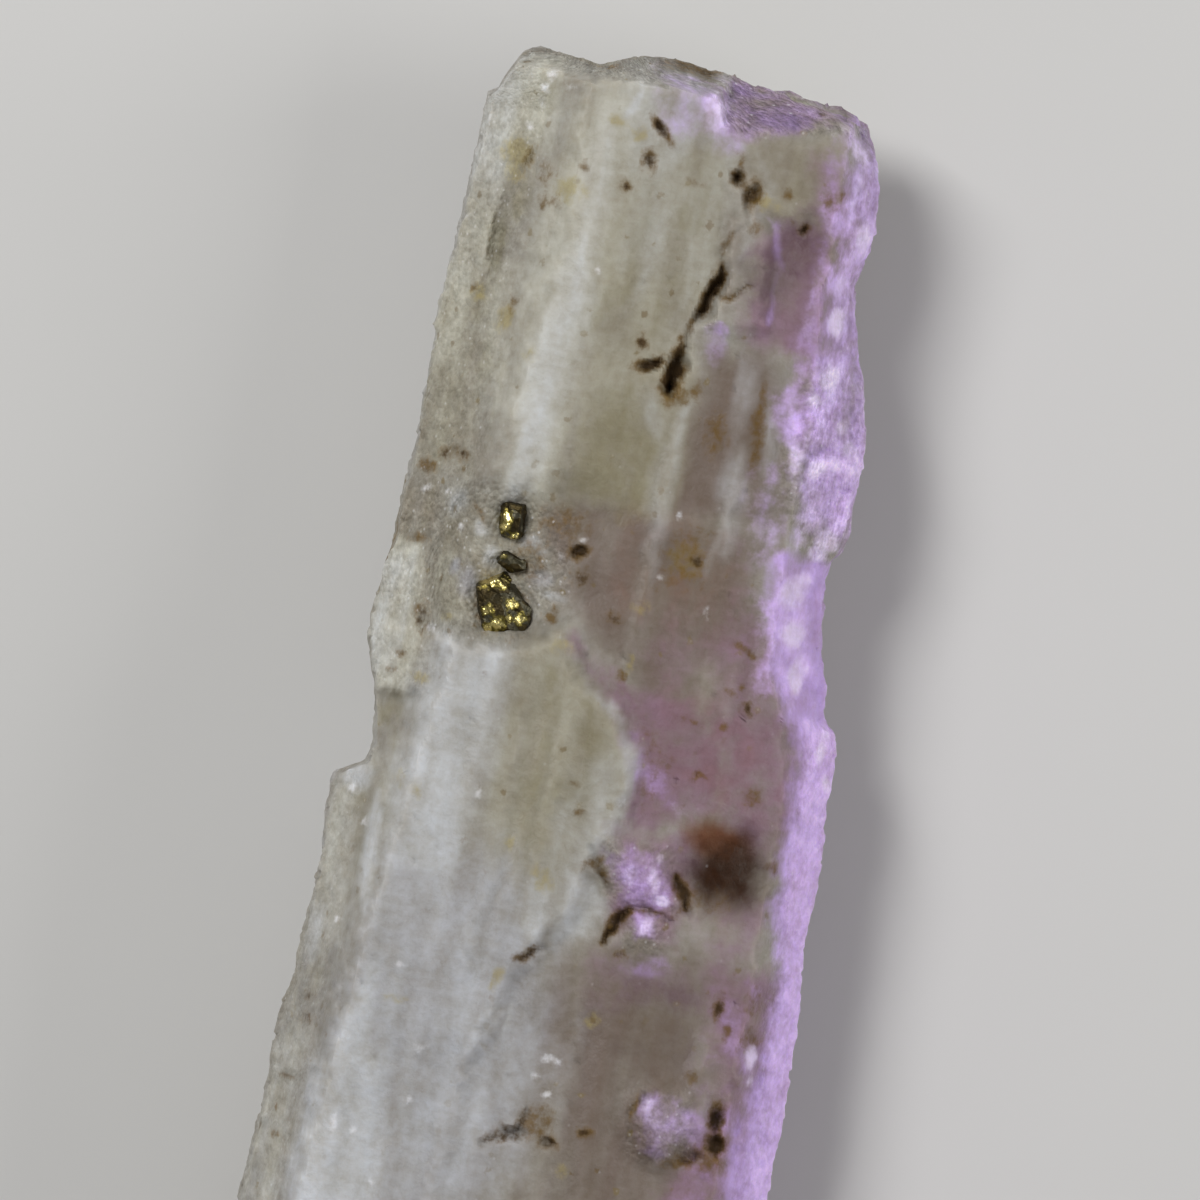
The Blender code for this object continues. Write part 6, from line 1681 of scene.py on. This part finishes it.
# The studio, in metres: the spot the camera looks at, and how far away the camera and lights stand.
LOOK_AT = Vector((-0.04 * MM, 6.7 * MM, 4.0 * MM))
CAMERA_DISTANCE = 0.5
SENSOR_WIDTH = 36.0
LIGHT_DISTANCE = 0.3
FLOOR_SIZE = 1.2
# Each light's name, the setting that holds its power, its size, and its azimuth and elevation in degrees.
LIGHTS = (
    ("key_light", "key", 0.1, 145.0, 55.0),
    ("fill_light", "fill", 0.2, 5.0, 28.0),
)


def add_light(name, power, size, azimuth, elevation):
    """A square soft light aimed at the crystal; azimuth is counted from +X towards +Y, in degrees."""
    turn, rise = math.radians(azimuth), math.radians(elevation)
    away = Vector((math.cos(turn) * math.cos(rise), math.sin(turn) * math.cos(rise), math.sin(rise)))
    light = bpy.data.lights.new(name, "AREA")
    light.energy = power
    light.size = size
    lamp = bpy.data.objects.new(name, light)
    lamp.location = LOOK_AT + away * LIGHT_DISTANCE
    lamp.rotation_euler = away.to_track_quat("Z", "Y").to_euler()
    bpy.context.scene.collection.objects.link(lamp)


class DANBURITE_OT_studio(bpy.types.Operator):
    """Add the floor, the lights and the camera"""

    bl_idname = "danburite.studio"
    bl_label = "Plain Studio"
    bl_options = {"REGISTER", "UNDO"}

    def execute(self, context):
        look = context.scene.danburite_studio
        shape = bmesh.new()
        bmesh.ops.create_grid(shape, x_segments=1, y_segments=1, size=FLOOR_SIZE / 2)
        floor = new_object("studio_floor", shape, floor_material(look))
        for name, power, size, azimuth, elevation in LIGHTS:
            add_light(name, getattr(look, power), size, azimuth, elevation)
        world = bpy.data.worlds.new("surroundings")
        world.use_nodes = True
        surroundings = world.node_tree.nodes["Background"]
        feed(world.node_tree, surroundings, {"Color": (1.0, 1.0, 1.0, 1.0), "Strength": look.sky})
        context.scene.world = world
        context.scene.view_settings.view_transform = "Standard"
        camera = bpy.data.cameras.new("camera")
        camera.sensor_width = SENSOR_WIDTH
        camera.lens = SENSOR_WIDTH * CAMERA_DISTANCE / look.field
        camera.clip_end = 4 * CAMERA_DISTANCE
        stand = bpy.data.objects.new("camera", camera)
        stand.location = LOOK_AT + Vector((0, 0, CAMERA_DISTANCE))
        stand.rotation_euler = (0.0, 0.0, look.turn)
        context.scene.collection.objects.link(stand)
        context.scene.camera = stand
        return {"FINISHED"}


OPERATORS = (DANBURITE_OT_crystal, DANBURITE_OT_pyrite, DANBURITE_OT_studio)
# The settings that each operator reads, in the same order, by their name in the scene.
LOOKS = {
    "danburite_crystal": CrystalLook,
    "danburite_pyrite": PyriteLook,
    "danburite_studio": StudioLook,
}


class DANBURITE_PT_panel(bpy.types.Panel):
    """Buttons for the pieces and their settings"""

    bl_idname = "DANBURITE_PT_panel"
    bl_label = "Danburite"
    bl_space_type = "VIEW_3D"
    bl_region_type = "UI"
    bl_category = "Danburite"

    def draw(self, context):
        for operator, (name, look) in zip(OPERATORS, LOOKS.items()):
            self.layout.operator(operator.bl_idname)
            for setting in look.__annotations__:
                self.layout.prop(getattr(context.scene, name), setting)


def register():
    """Registers the settings, the operators and the panel."""
    for cls in (*LOOKS.values(), *OPERATORS, DANBURITE_PT_panel):
        bpy.utils.register_class(cls)
    for name, look in LOOKS.items():
        setattr(bpy.types.Scene, name, PointerProperty(type=look))


def unregister():
    """Takes them away again."""
    for name in LOOKS:
        delattr(bpy.types.Scene, name)
    for cls in (DANBURITE_PT_panel, *OPERATORS, *LOOKS.values()):
        bpy.utils.unregister_class(cls)


def main():
    """Makes every piece in order."""
    register()
    bpy.ops.danburite.crystal()
    bpy.ops.danburite.pyrite()
    bpy.ops.danburite.studio()


if __name__ == "__main__":
    main()
